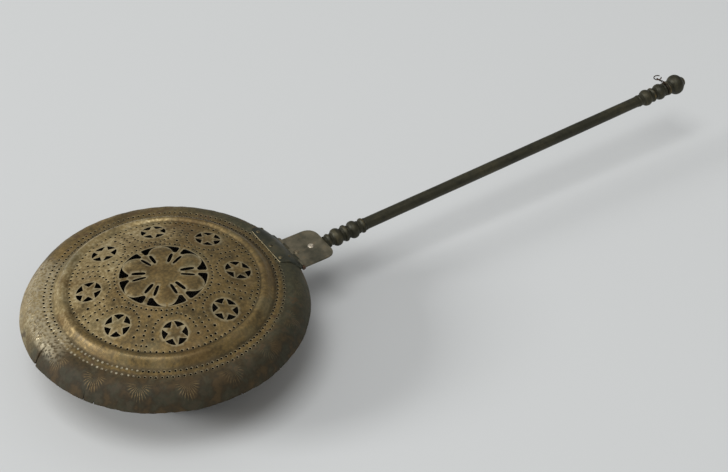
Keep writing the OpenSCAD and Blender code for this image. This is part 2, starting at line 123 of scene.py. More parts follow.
def joined(*shapes):
    """Several closed shapes as one: each block of faces is renumbered by the points before it."""
    points, faces, start = [], [], 0
    for shape_points, shape_faces in shapes:
        faces += [np.asarray(block) + start for block in shape_faces]
        points.append(shape_points)
        start += len(shape_points)
    return np.concatenate(points), faces


# %% [markdown]
# ## Turned shapes
#
# Most of the pan is round: the bowl was raised and trued on a lathe, and the knobs of the handle were
# turned. A turned shape is a profile of heights and radii carried round an axis. Where the profile starts
# and ends on the axis, its two ends become poles. Where it doesn't, it closes on itself, as a bored tube
# does. Wires use the same faces, so these have their own function.

# %% Helper: turn a profile and stand it on an axis
def ring_faces(rings, segments, closed):
    """Quads between each ring of points and the next, and from the last to the first if the shape is
    closed. An open shape ends in two fans of triangles round poles, which are numbered after the points of
    the rings."""
    here = np.arange(rings * segments).reshape(rings, segments)
    low, high = here.size, here.size + 1
    if closed:
        here = np.vstack([here, here[:1]])
    beside = np.roll(here, -1, axis=1)
    faces = [np.stack([here[:-1], beside[:-1], beside[1:], here[1:]], -1).reshape(-1, 4)]
    if not closed:
        faces.append(np.stack([np.full(segments, low), beside[0], here[0]], -1))
        faces.append(np.stack([np.full(segments, high), here[-1], beside[-1]], -1))
    return faces


def turned(profile, segments, ripple=None):
    """Point (i, j) is (r cos a, r sin a, z) with r and z from profile row i and a = 2 pi j / segments.
    ripple(a, z, r) is a small change of the radius."""
    z, r = np.asarray(profile, float).T
    angle = np.arange(segments) * 2 * np.pi / segments
    closed = r[0] > 0
    z_ring, r_ring = (z, r) if closed else (z[1:-1], r[1:-1])
    zz, aa = np.meshgrid(z_ring, angle, indexing="ij")
    rr = np.repeat(r_ring[:, None], segments, axis=1)
    if ripple is not None:
        rr = rr + ripple(aa, zz, rr)
    points = np.stack([rr * np.cos(aa), rr * np.sin(aa), zz], -1).reshape(-1, 3)
    if not closed:
        points = np.vstack([points, [[0, 0, z[0]], [0, 0, z[-1]]]])
    return points, ring_faces(len(z_ring), segments, closed)


def stood(shape, foot, axis):
    """Moves a shape from the Z axis to a line through foot: p becomes foot + x side + y across + z axis."""
    axis = np.asarray(axis, float) / np.linalg.norm(axis)
    side = np.cross((0, 1, 0) if abs(axis[1]) < 0.9 else (1, 0, 0), axis)
    side /= np.linalg.norm(side)
    return np.asarray(foot) + shape[0] @ np.stack([side, np.cross(axis, side), axis]), shape[1]


def arc_points(centre, radius, start, end, count):
    """Points (height, radius) on a circle round centre = (radius, height), from one angle to another in
    degrees."""
    angle = np.radians(np.linspace(start, end, count))
    return np.stack([centre[1] + radius * np.sin(angle), centre[0] + radius * np.cos(angle)], -1)


# %% [markdown]
# ## The lid's form
#
# The lid was hammered and spun from one sheet: a shallow dome, a flat border, a raised ridge, a narrow band
# and a shoulder that rolls down to the edge. In section that is one curve of height over radius, and
# softening it a little takes away the corners that no hammer leaves. Over it lie the slow waves and small
# dents of long use, the raised petals of the rosette and the low boss in its middle.

# %% Heights of the lid
BORDER_Z, LID_R, LID_T = 97.886, 155.3, 1.3
DOME_R, DOME_H, RIDGE_IN, RIDGE_OUT, BAND_OUT = 100, 18, 103, 117, 127.6
RIDGE_RISE, RIDGE_DROP, BAND_DROP, SHOULDER_DROP = 4.5, 7, 1.7, 23.5
ROSETTE_R, SPOKE_TURN, TEAR_AT = 46.6, 36.4, 181.5


def lid_section(r):
    """Height over radius, from the border: a ball's cap, a flat, a ridge rise * sin(pi u) - drop / 2 * (1 -
    cos(pi u)), a straight band and a shoulder that falls with the 2.8th power of the way to the edge."""
    ball = (DOME_R**2 + DOME_H**2) / (2 * DOME_H)
    dome = np.sqrt(ball**2 - np.minimum(np.abs(r), DOME_R) ** 2) - ball + DOME_H
    u = np.clip((r - RIDGE_IN) / (RIDGE_OUT - RIDGE_IN), 0, 1)
    ridge = RIDGE_RISE * np.sin(np.pi * u) - RIDGE_DROP / 2 * (1 - np.cos(np.pi * u))
    band = -RIDGE_DROP - BAND_DROP * (r - RIDGE_OUT) / (BAND_OUT - RIDGE_OUT)
    outwards = np.maximum(r - BAND_OUT, 0) / (LID_R - BAND_OUT)
    shoulder = -RIDGE_DROP - BAND_DROP - SHOULDER_DROP * outwards**2.8
    zones = [r <= DOME_R, r < RIDGE_IN, r < RIDGE_OUT, r < BAND_OUT]
    return np.select(zones, [dome, 0 * r, ridge, band], shoulder)


SECTION_STEP, BELL_REACH, BELL_WIDTH = 0.1, 25, 8
section_r = np.arange(-10, 165, SECTION_STEP)
bell = np.exp(-0.5 * (np.arange(-BELL_REACH, BELL_REACH + 1) / BELL_WIDTH) ** 2)
padded = np.pad(lid_section(section_r), BELL_REACH, mode="edge")
section_z = np.convolve(padded, bell / bell.sum(), "valid")


def eased(value, low, high):
    """0 below low, 1 above high, and the smooth cubic 3u^2 - 2u^3 between them."""
    u = np.clip((value - low) / (high - low), 0, 1)
    return u * u * (3 - 2 * u)


def turn_between(azimuth, centre):
    """Angle from a centre azimuth to another, in degrees between -180 and 180."""
    return (azimuth - centre + 180) % 360 - 180


def waves(x, y, length, seed, count=5):
    """The mean of a few sine waves of one length whose directions and phases come from a seed, between -1
    and 1."""
    dice = np.random.default_rng(seed)
    turns, phases = dice.uniform(0, np.pi, count), dice.uniform(0, 2 * np.pi, count)
    total = sum(
        np.sin(2 * np.pi * (x * np.cos(t) + y * np.sin(t)) / length + p) for t, p in zip(turns, phases))
    return total / count


def lid_height(x, y):
    """The softened section with its middle sunk a little, plus waves that grow outwards, small dents on the
    brim, the petals, a boss in a groove, and the two lips of the tear, one lifted and one pressed down."""
    r, azimuth = np.hypot(x, y), np.degrees(np.arctan2(y, x))
    z = BORDER_Z + np.interp(r, section_r, section_z) - 0.9 * np.exp(-((r / 55) ** 2))
    z = z + eased(r, 30, 90) * (0.45 * waves(x, y, 95, 3) + 0.3 * waves(x, y, 42, 4))
    z = z + eased(r, 128, 134) * (0.32 * waves(x, y, 17, 5) + 0.2 * waves(x, y, 9, 6))
    petals = np.cos(np.radians(3 * (azimuth - SPOKE_TURN - 30))) ** 2
    z = z + 1.5 * petals * eased(r, 10, 24) * (1 - eased(r, 37, 47))
    z = z + 0.45 * (1 - eased(r, 7.4, 9.6)) - 0.35 * np.exp(-(((r - 10.6) / 1.3) ** 2))
    torn = turn_between(azimuth, TEAR_AT)
    lip = eased(r, 136, 152) * np.exp(-((torn / 3.2) ** 2))
    return z + np.where(torn < 0, 1.0, -1.1) * lip


for spot, x in (("top of the dome", 0.0), ("edge", -LID_R)):
    print(spot, round(float(lid_height(x, 0.0)), 2))

# %% [markdown]
# ## The piercing
#
# All openings were cut or punched from the outside: six-pointed stars left standing in circles, a rosette
# of petals with long slots between them, and rows of small round holes that follow the stars and the ridge.
# Each opening is a closed loop of points in plan. Every star has a turn of its own, because the maker set
# them out by eye.

# %% Loops of the openings
STAR_RING, STAR_R, STAR_CORE = 79.4, 13.5, 6.9
SPOKE_EDGE, PETAL_TIP, OPENING_DEPTH = 2.9, 27.6, 10.2
SLOT_AT, SLOT_HALF_L, SLOT_HALF_W, SLOT_TURN = 25.9, 7.6, 1.9, 9.3


def polar(r, azimuth):
    """Plan points from radius and azimuth in degrees."""
    return np.stack([r * np.cos(np.radians(azimuth)), r * np.sin(np.radians(azimuth))], -1)


def star_opening(centre_azimuth, towards):
    """One of the six openings of a star: a corner near the middle, then an arc of the star's circle."""
    arc = polar(STAR_R, np.linspace(-25.5, 25.5, 9) + towards)
    corner = polar(np.array([STAR_CORE]), np.array([towards]))
    sides = [0.5 * (corner + arc[:1]), 0.5 * (corner + arc[-1:])]
    return polar(STAR_RING, centre_azimuth) + np.vstack([corner, sides[0], arc, sides[1]])


def petal_opening(spoke, side):
    """The opening between a spoke and a petal's tip. Away from the spoke the petal's edge climbs from deep
    inside the circle to just under it, as a quarter of a sine, so that the petal is round and the opening
    ends in a sliver. Both corners at the spoke are cut."""
    angle = np.linspace(SPOKE_EDGE, PETAL_TIP, 16)
    climb = np.sin(np.pi / 2 * np.clip((angle - 8.5) / 18.5, 0, 1))
    cut = 1 - eased(angle, SPOKE_EDGE, 5.0)
    inner = ROSETTE_R - OPENING_DEPTH * (1 - 0.955 * climb) + 1.6 * cut
    outer = ROSETTE_R - 1.4 * cut
    return np.vstack([polar(inner, spoke + side * angle), polar(outer[::-1], spoke + side * angle[::-1])])


def slot_opening(azimuth):
    """A slot with rounded ends, along the radius: |x / a|^3 + |y / b|^3 = 1."""
    t = np.arange(20) * 2 * np.pi / 20
    along, across = (np.sign(f) * np.abs(f) ** (2 / 3) for f in (np.cos(t), np.sin(t)))
    outwards, sideways = polar(1, azimuth), polar(1, azimuth + 90)
    return (SLOT_AT * outwards + np.outer(SLOT_HALF_L * along, outwards)
            + np.outer(SLOT_HALF_W * across, sideways))


STARS = {25: 0, 70: 38, 115: 25, 160: 0, 205: 52, 250: 40, 295: 30, 340: 18}
spokes = SPOKE_TURN + 60 * np.arange(6)
openings = [star_opening(star, turn + 60 * k) for star, turn in STARS.items() for k in range(6)]
openings += [petal_opening(spoke, side) for spoke in spokes for side in (-1, 1)]
openings += [slot_opening(spoke + side * SLOT_TURN) for spoke in spokes for side in (-1, 1)]
print(len(openings), "cut openings")

# %% [markdown]
# The round holes follow simple rules: rings at the border, round the rosette and on the brim, an arc on the
# inner side of every star, short rows between the stars, and a few larger holes. Where two rules meet, the
# second hole is left out.

# %% Places of the round holes
LARGE_HOLE_R, SMALL_HOLE_R, LEAST_STEP = 1.6, 1.25, 3.7
between = 2.5 + 45 * np.arange(8)
large_holes = np.vstack([polar(86, between - 6.6), polar(86, between + 6.6), polar(59.5, between)])
dice = np.random.default_rng(11)


def ring_of_holes(r, count, start=0.0):
    """Equal steps round a circle, each off by up to a tenth of a step."""
    azimuth = start + 360 * (np.arange(count) + dice.uniform(-0.1, 0.1, count)) / count
    return polar(r + dice.uniform(-0.25, 0.25, count), azimuth)


arcs = np.vstack([
    polar(STAR_RING, star) + polar(22.8, star + 180 + np.linspace(-78, 78, 13)) for star in STARS])
rows = np.vstack([polar(r, between + turn) for r, turn in
                  ((71, 0), (77, 0), (82.5, 0), (88, 0), (94, 0), (94, -3.3), (94, 3.3))])
small_holes = np.vstack([
    ring_of_holes(99.6, 100), ring_of_holes(51.5, 60), rows, arcs + dice.uniform(-0.3, 0.3, arcs.shape),
    ring_of_holes(119.9, 137), ring_of_holes(126.9, 137, 1.3)])
holes = np.vstack([large_holes, small_holes])
steps = np.linalg.norm(holes[:, None] - holes[None], axis=-1)
earlier = np.tri(len(holes), k=-1, dtype=bool)
kept = np.where(earlier, steps, np.inf).min(axis=1) > LEAST_STEP
hole_r = np.where(np.arange(len(holes)) < len(large_holes), LARGE_HOLE_R, SMALL_HOLE_R)
holes, hole_r = holes[kept], hole_r[kept] * dice.uniform(0.93, 1.1, kept.sum())
hole_az = np.degrees(np.arctan2(holes[:, 1], holes[:, 0]))
# The holes of the lower left brim stay closed as shallow pits, which the finish paints white as painted
# highlights.
filled = (np.hypot(*holes.T) > 118) & (hole_az < -131)
print(len(holes), "round holes,", filled.sum(), "of them filled with dried polish")

# %% [markdown]
# ## Sheet metal from a plan
#
# A pierced sheet is easiest to mesh flat. The outline, the loops of the openings and a scatter of inner
# points go into one constrained Delaunay triangulation, triangles inside openings are dropped, and then
# every point is lifted to its height. A second copy of the points, moved down along the surface's normals
# by the thickness, is the back of the sheet, and a wall follows every edge that only one triangle uses.

# %% Helper: a sheet with openings
def inside(points, loop):
    """Whether points lie in a closed loop: a line to the right of each crosses the loop an odd number of
    times."""
    x, y = points[:, :1], points[:, 1:2]
    (x0, y0), (x1, y1) = loop.T, np.roll(loop, -1, axis=0).T
    crosses = (y0 > y) != (y1 > y)
    at = x0 + (y - y0) / np.where(y1 == y0, 1e-9, y1 - y0) * (x1 - x0)
    return (crosses & (x < at)).sum(axis=1) % 2 == 1


def nearest(points, others):
    """Distance from each point to the closest of others, a thousand points at a time."""
    return np.concatenate([
        np.sqrt(((block[:, None] - others[None]) ** 2).sum(-1).min(axis=1))
        for block in np.array_split(points, len(points) // 1000 + 1)])


def sheet(outline, loops, inner, height, thickness, sunk=None, kept_loops=()):
    """A closed sheet of even thickness. sunk lowers single points, and the inside of a kept loop stays
    metal."""
    plan = np.vstack([outline, *loops, inner])
    sizes = [len(outline)] + [len(loop) for loop in loops]
    starts = np.cumsum([0] + sizes)
    owner = np.full(len(plan), -1)
    owner[:starts[-1]] = np.repeat(np.arange(len(sizes)), sizes)
    first = np.arange(starts[-1])
    after = first + 1
    after[starts[1:] - 1] = starts[:-1]
    found = delaunay_2d_cdt(plan.tolist(), np.stack([first, after], -1).tolist(), [], 0, 1e-6)
    flat, triangles = np.array([tuple(v) for v in found[0]]), np.array(found[2])
    assert len(flat) == len(plan) and np.allclose(flat, plan, atol=1e-3), "two plan points fell together"
    who = owner[triangles]
    one_loop = (who[:, 0] == who[:, 1]) & (who[:, 1] == who[:, 2]) & (who[:, 0] >= 0)
    dropped = np.zeros(len(triangles), bool)
    centres = flat[triangles].mean(axis=1)
    for number in np.unique(who[one_loop, 0]):
        if number - 1 in kept_loops:
            continue
        mine = np.flatnonzero(one_loop & (who[:, 0] == number))
        loop = flat[starts[number]:starts[number + 1]]
        dropped[mine] = inside(centres[mine], loop) == (number > 0)
    triangles = triangles[~dropped]
    x, y = flat.T
    z = height(x, y) - (0 if sunk is None else sunk)
    step = 0.05
    slope_x = (height(x + step, y) - height(x - step, y)) / (2 * step)
    slope_y = (height(x, y + step) - height(x, y - step)) / (2 * step)
    normal = np.stack([-slope_x, -slope_y, np.ones_like(x)], -1)
    normal /= np.linalg.norm(normal, axis=1)[:, None]
    face = np.stack([x, y, z], -1)
    edges = np.concatenate([triangles[:, pair] for pair in ([0, 1], [1, 2], [2, 0])])
    _, back, times = np.unique(np.sort(edges, axis=1), axis=0, return_inverse=True, return_counts=True)
    a, b = edges[times[back.ravel()] == 1].T
    n = len(flat)
    walls = np.stack([b, a, a + n, b + n], -1)
    return np.vstack([face, face - thickness * normal]), [triangles, triangles[:, ::-1] + n, walls], owner


# %% [markdown]
# ## The lid as a piece
#
# The outline is the edge circle with the notch for the hinge, small nicks, and the radial tear at the left,
# whose two lips have sprung apart. Points round each hole sink a little, because a punch drags the metal
# down with it. Inner points lie on rings that are closest where the section bends most.

# %% Outline of the lid
NOTCH_X, NOTCH_Y = 152.2, 26.6
# Each tear or nick is an azimuth, a depth and half a width in degrees
TEARS = ((TEAR_AT, 16.3, 0.13), (209, 5.5, 0.16), (213.5, 1.6, 0.3),
         (271.6, 0.9, 0.3), (291.1, 1.0, 0.35), (58, 0.9, 0.3))
edge_start = np.degrees(np.arcsin(NOTCH_Y / LID_R))
edge_az = np.linspace(edge_start, 360 - edge_start, 640)
edge_az = edge_az[np.all([np.abs(edge_az - az) > wide + 0.2 for az, _, wide in TEARS], axis=0)]
edge_x, edge_y = polar(LID_R, edge_az).T
edge_r = LID_R - 0.25 * (1 + waves(edge_x, edge_y, 60, 7)) - 0.12 * (1 + waves(edge_x, edge_y, 11, 8))
tear_az, tear_r = np.array([
    (az + side * wide, LID_R - 0.4 - deep * (side == 0))
    for az, deep, wide in TEARS for side in (-1, 0, 1)]).T
rim_az, rim_r = np.append(edge_az, tear_az), np.append(edge_r, tear_r)
order = np.argsort(rim_az)
rim_line = polar(rim_r[order], rim_az[order])
notch_line = np.stack([np.full(12, NOTCH_X), np.linspace(-NOTCH_Y, NOTCH_Y, 12)], -1)
lid_outline = np.vstack([rim_line, notch_line])
print(len(lid_outline), "points round the lid")

# %% Loops and inner points of the lid
octagon = np.arange(8) * 45.0
lid_loops = openings + [centre + polar(r, octagon) for centre, r in zip(holes, hole_r)]
collars = np.vstack([centre + polar(r + 0.55, octagon + 22.5) for centre, r in zip(holes, hole_r)])
ring_r = np.concatenate([np.arange(2, 96, 3.1), np.arange(96, 130, 1.35), np.arange(130.5, 154.6, 2.1)])
ring_step = np.where(ring_r < 96, 3.2, np.where(ring_r < 130, 2.6, 2.9))
ring_count = np.maximum(8, np.round(2 * np.pi * ring_r / ring_step)).astype(int)
rings = np.vstack([
    polar(r, (np.arange(n) + 0.5 * (i % 2)) * 360 / n) for i, (r, n) in enumerate(zip(ring_r, ring_count))])
cut_points = np.vstack(openings)
for others, margin in ((holes, 2.5), (cut_points, 1.1), (lid_outline, 0.9)):
    rings = rings[nearest(rings, others) > margin]
in_opening = np.any([inside(rings, loop) for loop in openings], axis=0)
rings = rings[~in_opening & inside(rings, lid_outline)]
collars = collars[nearest(collars, cut_points) > 0.6]
painted_glint_spots = holes[filled]
lid_inner = np.vstack([rings, collars, painted_glint_spots])

# %% Cut the lid
CUT_SINK, PUNCH_SINK, GLINT_PIT_SINK = 0.16, 0.26, 0.15
loop_sink = [
    np.full(len(loop), CUT_SINK if i < len(openings) else PUNCH_SINK) for i, loop in enumerate(lid_loops)]
sunk = np.concatenate([np.zeros(len(lid_outline)), *loop_sink, np.zeros(len(lid_inner))])
sunk[-len(painted_glint_spots):] = GLINT_PIT_SINK
kept_pits = {len(openings) + k for k in np.flatnonzero(filled)}
lid_points, lid_faces, lid_owner = sheet(
    lid_outline, lid_loops, lid_inner, lid_height, LID_T, sunk, kept_pits)
print("lid triangles", 2 * len(lid_faces[0]))

# %% [markdown]
# What the finish needs to know is written on the points: which of them lie on a cut edge, so that every
# hole gets a painted highlight on its rim, which closed pits get white painted highlights, what is sooty (the
# whole underside), and how bright the metal is. That brightness is partly kept by hands and light wear and
# partly painted highlight: the far side and the left brim, which face the low lamp, are marked brighter. The
# brim has a dark skin at the near side and towards the hinge, partly patina and partly painted shade on the
# sides away from the low lamp. The walls between the sheet's two sides are marked on the faces and painted
# nearly black as shade.

# %% Marks on the lid
def lobe(azimuth, centre, half_width):
    """A smooth bump over azimuth: 1 at its centre and 0 beyond its half-width."""
    return 1 - eased(np.abs(turn_between(azimuth, centre)), 0, half_width)


top = len(lid_owner)
lid_x, lid_y = lid_points[:top, :2].T
lid_r, lid_az = np.hypot(lid_x, lid_y), np.degrees(np.arctan2(lid_y, lid_x))
# Painted highlight: points on the cut edges get a light rim.
cut_rim_highlight = np.where(lid_owner > 0, 1.0, 0.0)
chalk = np.isin(lid_owner - 1, list(kept_pits)) * 1.0
chalk[-len(painted_glint_spots):] = 1
cut_rim_highlight = cut_rim_highlight * (1 - chalk)
on_brim = eased(lid_r, 115, 121)
ridge_top = eased(lid_r, 103, 106) * (1 - eased(lid_r, 111, 116))
# Wear and painted highlight: the far side and the left brim, which face the low lamp, are marked brighter,
# and the ridge's crest is marked brighter at the far left and darker at the near side.
lit_far_side = lobe(lid_az, 115, 120) * eased(lid_r, 10, 80)
rubbed = (1 - on_brim) * (0.4 + 0.58 * lit_far_side) + on_brim * (1.3 * lobe(lid_az, 158, 50) + 0.1)
rubbed = rubbed + ridge_top * (0.65 * lobe(lid_az, 150, 45) - 0.35 * lobe(lid_az, -120, 110))
# Partly dark patina and partly painted shade: the skin is strongest at the near side and on the right towards
# the hinge, which face away from the low lamp, and at the near edge.
skin = eased(lid_r, 118, 132) * (0.15 + 1.1 * lobe(lid_az, -125, 80) + 0.85 * lobe(lid_az, -10, 115))
skin = skin + 0.6 * eased(lid_r, 141, 149) * lobe(lid_az, -130, 110) + 0.4 * ridge_top * lobe(lid_az, 0, 90)
nowhere = np.zeros(top)
above_and_below = {
    "rubbed": (np.clip(rubbed, 0, 1), nowhere),
    "skin": (np.clip(skin, 0, 1), nowhere),
    "cut_edge": (cut_rim_highlight, 0.3 * cut_rim_highlight),
    "chalk": (chalk, nowhere),
    "soot": (nowhere, nowhere + 1),
}
lid_marks = {mark: np.concatenate(sides) for mark, sides in above_and_below.items()}
# Painted shade: the walls of the cuts and of the lid's edge are painted nearly black.
cut_wall = np.repeat([0.0, 0.0, 1.0], [len(block) for block in lid_faces])
pierced_lid = make_piece("pierced_lid", (lid_points, lid_faces), "lid", ["lid"], lid_marks, crease=50,
                         face_marks={"cut_wall": cut_wall})

# %% [markdown]
# ## The ember bowl
#
# The bowl is one deep raised sheet: a flat base, a slanting wall, a rounded shoulder and an upright neck
# whose edge is rolled outwards over a wire. It is turned here as one closed profile, outside from the base
# to the roll and back down the inside. A raised bowl is never quite even, so slow ripples move its wall in
# and out.

# %% Turn the bowl
BOWL_H, RIM_R, ROLL_R, NECK_R, BOWL_T, WALL_TURN = 74.5, 145.6, 3.05, 144.15, 1.6, -46.7
FOOT_C, FOOT_R, SHOULDER_C, SHOULDER_R = (78, 12), 12, (130.15, 64), 14
BASE_RINGS, BOWL_SEGMENTS = (20, 40, 60, 72), 160


def wall_between(start, end):
    """Seven points on the straight wall between two others, which the ripples can move."""
    return start + np.linspace(0, 1, 9)[1:-1, None] * (end - start)


steep = np.degrees(np.arccos((NECK_R - RIM_R) / ROLL_R))
foot = arc_points(FOOT_C, FOOT_R, -90, WALL_TURN, 7)
shoulder = arc_points(SHOULDER_C, SHOULDER_R, WALL_TURN, 0, 9)
roll = arc_points((RIM_R, BOWL_H), ROLL_R, -steep, 180, 22)
inner_shoulder = arc_points(SHOULDER_C, SHOULDER_R - BOWL_T, 0, WALL_TURN, 8)
inner_foot = arc_points(FOOT_C, FOOT_R - BOWL_T, WALL_TURN, -90, 6)
base = [(0, r) for r in (0, *BASE_RINGS)]
below_roll = np.vstack([base, foot, wall_between(foot[-1], shoulder[0]), shoulder])
bowl_profile = np.vstack([
    below_roll, roll, inner_shoulder, wall_between(inner_shoulder[-1], inner_foot[0]), inner_foot,
    [(BOWL_T, r) for r in (*BASE_RINGS[::-1], 0)]])


def bowl_ripple(angle, z, r):
    """Slow waves of less than half a millimetre on the wall, none on the base or at the rolled rim."""
    on_wall = eased(z, 4, 25) * (1 - eased(z, 60, 70))
    slow = 0.3 * waves(r * np.cos(angle), r * np.sin(angle), 70, 21)
    return on_wall * (slow + 0.15 * waves(angle * 60, z, 24, 22))


bowl_points, bowl_faces = turned(bowl_profile, BOWL_SEGMENTS, bowl_ripple)
last_row = len(bowl_profile) - 1
profile_row = np.append(np.repeat(np.arange(1, last_row), BOWL_SEGMENTS), [0, last_row])
roll_top = len(below_roll) + np.argmax(roll[:, 0])
inner_side = eased(profile_row, roll_top - 2, roll_top + 4)
# Soot inside; outside, the bowl is darker towards the base.
bowl_soot_and_dark_base = np.maximum(inner_side, 1 - eased(bowl_points[:, 2], 4, 46))
ember_bowl = make_piece("ember_bowl", (bowl_points, bowl_faces), "pan", ["pan_bowl", "rim_wire"],
                        {"soot": bowl_soot_and_dark_base, "inside": inner_side}, crease=60)

# %% [markdown]
# ## The hinge: leaf, tongue and barrels
#
# The lid's leaf is a plate bent over the brim and held by five small rivets. The tongue is a stouter plate
# on the handle side. Both end in barrels that take turns along one pin. The leaf uses the same sheet helper
# as the lid: its face is the lid's section raised by the plate's thickness, and a sloping link leads down
# from it to the barrels. Where the two meet, the higher one counts.

# %% Bend the leaf
HINGE_X, HINGE_Z, HINGE_W = 155.8, 67.886, 52
BARREL_R, BARREL_L, BARREL_STEP, BORE_R = 3.0, 10.15, 10.4, 1.4
LEAF_T, LEAF_ROOT, LINK_START, LINK_END = 1.4, 126, 152.1, 156.2
LINK_X, LINK_Z, LINK_TOP_X, LINK_DEGREES = 156.35, 68.35, 150.4, 59


def leaf_height(x, y):
    """The brim raised by the leaf's thickness, measured along its normal, or the link's slope where that is
    higher."""
    r = np.minimum(np.hypot(x, y), 155.2)
    slope = np.interp(r + 0.5, section_r, section_z) - np.interp(r - 0.5, section_r, section_z)
    brim = BORDER_Z + np.interp(r, section_r, section_z) + (LEAF_T + 0.05) * np.sqrt(1 + slope**2)
    brim = brim + 0.12 * waves(x, y, 26, 31) - 0.2 * (1 - eased(x, 126, 130))
    link = LINK_Z + (LINK_X - np.maximum(x, LINK_TOP_X)) * np.tan(np.radians(LINK_DEGREES))
    link = link + 0.3 * np.maximum(LINK_TOP_X - x, 0)
    return brim + (1 - eased(np.abs(y), 25.6, 27.4)) * np.maximum(link - brim, 0)


def round_corner(corner, before, after, radius, count=7):
    """A corner c replaced by points on the curve (1-u)^2 p + 2u(1-u) c + u^2 q, where p and q lie a radius
    before and after it."""
    corner, before, after = (np.asarray(p, float) for p in (corner, before, after))
    p = corner + radius * (before - corner) / np.linalg.norm(before - corner)
    q = corner + radius * (after - corner) / np.linalg.norm(after - corner)
    u = np.linspace(0, 1, count)[:, None]
    return (1 - u) ** 2 * p + 2 * u * (1 - u) * corner + u**2 * q


def grid_inside(outline, x_steps, y_steps, margin):
    """The points of a grid that lie inside an outline and keep a margin from its points."""
    grid = np.stack(np.meshgrid(x_steps, y_steps, indexing="ij"), -1).reshape(-1, 2)
    return grid[inside(grid, outline) & (nearest(grid, outline) > margin)]


side_y = HINGE_W / 2
near_inner, near_outer = (LEAF_ROOT, -28.5), (150.6, -32.2)
far_inner, far_outer = (LEAF_ROOT, 36.5), (150.0, 39.6)
leaf_outline = np.vstack([
    round_corner(near_inner, far_inner, near_outer, 3.5),
    [near_outer, (LINK_START, -side_y), (LINK_END, -side_y)],
    [(LINK_END, y) for y in np.linspace(-20, 20, 9)],
    [(LINK_END, side_y), (LINK_START, side_y), (152, 31.5), far_outer],
    round_corner(far_inner, far_outer, near_inner, 6)])
leaf_inner = grid_inside(leaf_outline, np.arange(127.2, 156, 1.3), np.arange(-32, 40, 2.0), 0.7)
leaf_sheet = sheet(leaf_outline, [], leaf_inner, leaf_height, LEAF_T - 0.06)


def barrel(middle_y):
    """One barrel of the hinge: a bored roll with softened ends, turned and laid along Y."""
    half = BARREL_L / 2
    half_section = [
        (half, BORE_R), (half, BARREL_R - 0.35), (half - 0.1, BARREL_R - 0.1), (half - 0.4, BARREL_R)]
    section = [(-z, r) for z, r in half_section] + half_section[::-1]
    return stood(turned(section, 40), (HINGE_X, middle_y, HINGE_Z), (0, 1, 0))


def wear_edges(piece, width):
    """A small rounding on every edge sharper than 55 degrees, because handled edges are never sharp."""
    bevel = piece.modifiers.new("worn_edges", "BEVEL")
    bevel.width, bevel.segments = width * MM, 2
    bevel.limit_method, bevel.angle_limit = "ANGLE", np.radians(55)


leaf_shape = joined(leaf_sheet[:2], barrel(-BARREL_STEP), barrel(BARREL_STEP))
# Wear and painted highlight: the leaf's inner edge, which faces the low lamp, is marked for a bright line.
leaf_edge = (leaf_shape[0][:, 0] < LEAF_ROOT + 0.4) * 1.0
hinge_leaf = make_piece(
    "hinge_leaf", leaf_shape, "lid", ["lid_leaf"], {"worn_edge": leaf_edge}, crease=40)
wear_edges(hinge_leaf, 0.25)

# %% [markdown]
# The tongue lies flat under the level of the pin, with two gaps cut for the leaf's barrels. Its outer
# corners are round. A hand-cut plate is not quite flat: its face dips a little round each rivet and waves
# slightly between them.

# %% Cut the tongue
TONGUE_END, TONGUE_TOP, TONGUE_T = 199.4, 66.686, 1.8
GAP_END, GAPS = 159.1, ((15.85, 4.95), (-4.95, -15.85))
ROOT_RIVET, MAIN_RIVET, RIVET_HOLE_R = (163.4, 0.0), (182.2, 0.0), 2.1


def tongue_height(x, y):
    """A plane that dips round the two rivets and waves by a tenth of a millimetre."""
    dip = sum(np.exp(-(((x - rx) ** 2 + (y - ry) ** 2) / 5.5**2)) for rx, ry in (ROOT_RIVET, MAIN_RIVET))
    return TONGUE_TOP - 0.06 - 0.22 * dip + 0.08 * waves(x, y, 21, 41)


tongue_outline = np.vstack([
    [(x, -side_y) for x in (HINGE_X, 168, 177)],
    round_corner((TONGUE_END, -side_y), (HINGE_X, -side_y), (TONGUE_END, side_y), 12.5, 11),
    [(TONGUE_END, -4), (TONGUE_END, 4)],
    round_corner((TONGUE_END, side_y), (TONGUE_END, -side_y), (HINGE_X, side_y), 16, 11),
    [(x, side_y) for x in (177, 168, HINGE_X)],
    *[[(HINGE_X, start), (GAP_END, start), (GAP_END, end), (HINGE_X, end)] for start, end in GAPS]])
rivet_spots = np.array([ROOT_RIVET, MAIN_RIVET])
rivet_loops = [spot + polar(RIVET_HOLE_R, np.arange(16) * 22.5) for spot in rivet_spots]
tongue_inner = grid_inside(tongue_outline, np.arange(157, 199, 2.1), np.arange(-25, 25.5, 2.1), 0.8)
tongue_inner = tongue_inner[nearest(tongue_inner, rivet_spots) > 2.9]
tongue_sheet = sheet(tongue_outline, rivet_loops, tongue_inner, tongue_height, TONGUE_T - 0.08)
tongue_barrels = [barrel(step * BARREL_STEP) for step in (-2, 0, 2)]
tongue_shape = joined(tongue_sheet[:2], *tongue_barrels)
tongue_edge = np.zeros(len(tongue_shape[0]))
tongue_edge[:len(tongue_outline)] = 0.45
tongue = make_piece(
    "tongue", tongue_shape, "pan", ["tongue_plate"], {"worn_edge": tongue_edge}, crease=40)
wear_edges(tongue, 0.3)

# %% [markdown]
# ## Rivets
#
# A rivet is a short pin with a domed head. The shank goes through both sheets and its end is hammered flat
# as a burr. Each is one turned profile: head, shank, burr. The two big rivets of the tongue are made here
# too, because their heads are what the eye finds on the plate: the first is beaten low, and the main one is
# hollow in the middle with a bright ring.

# %% Make the rivets
LEAF_RIVET_SPOTS = ((131.2, 1), (130.4, -21), (131.4, 28), (141, 36), (142.5, -20))
PALM_T, BRACKET_T = 3.6, 2.0


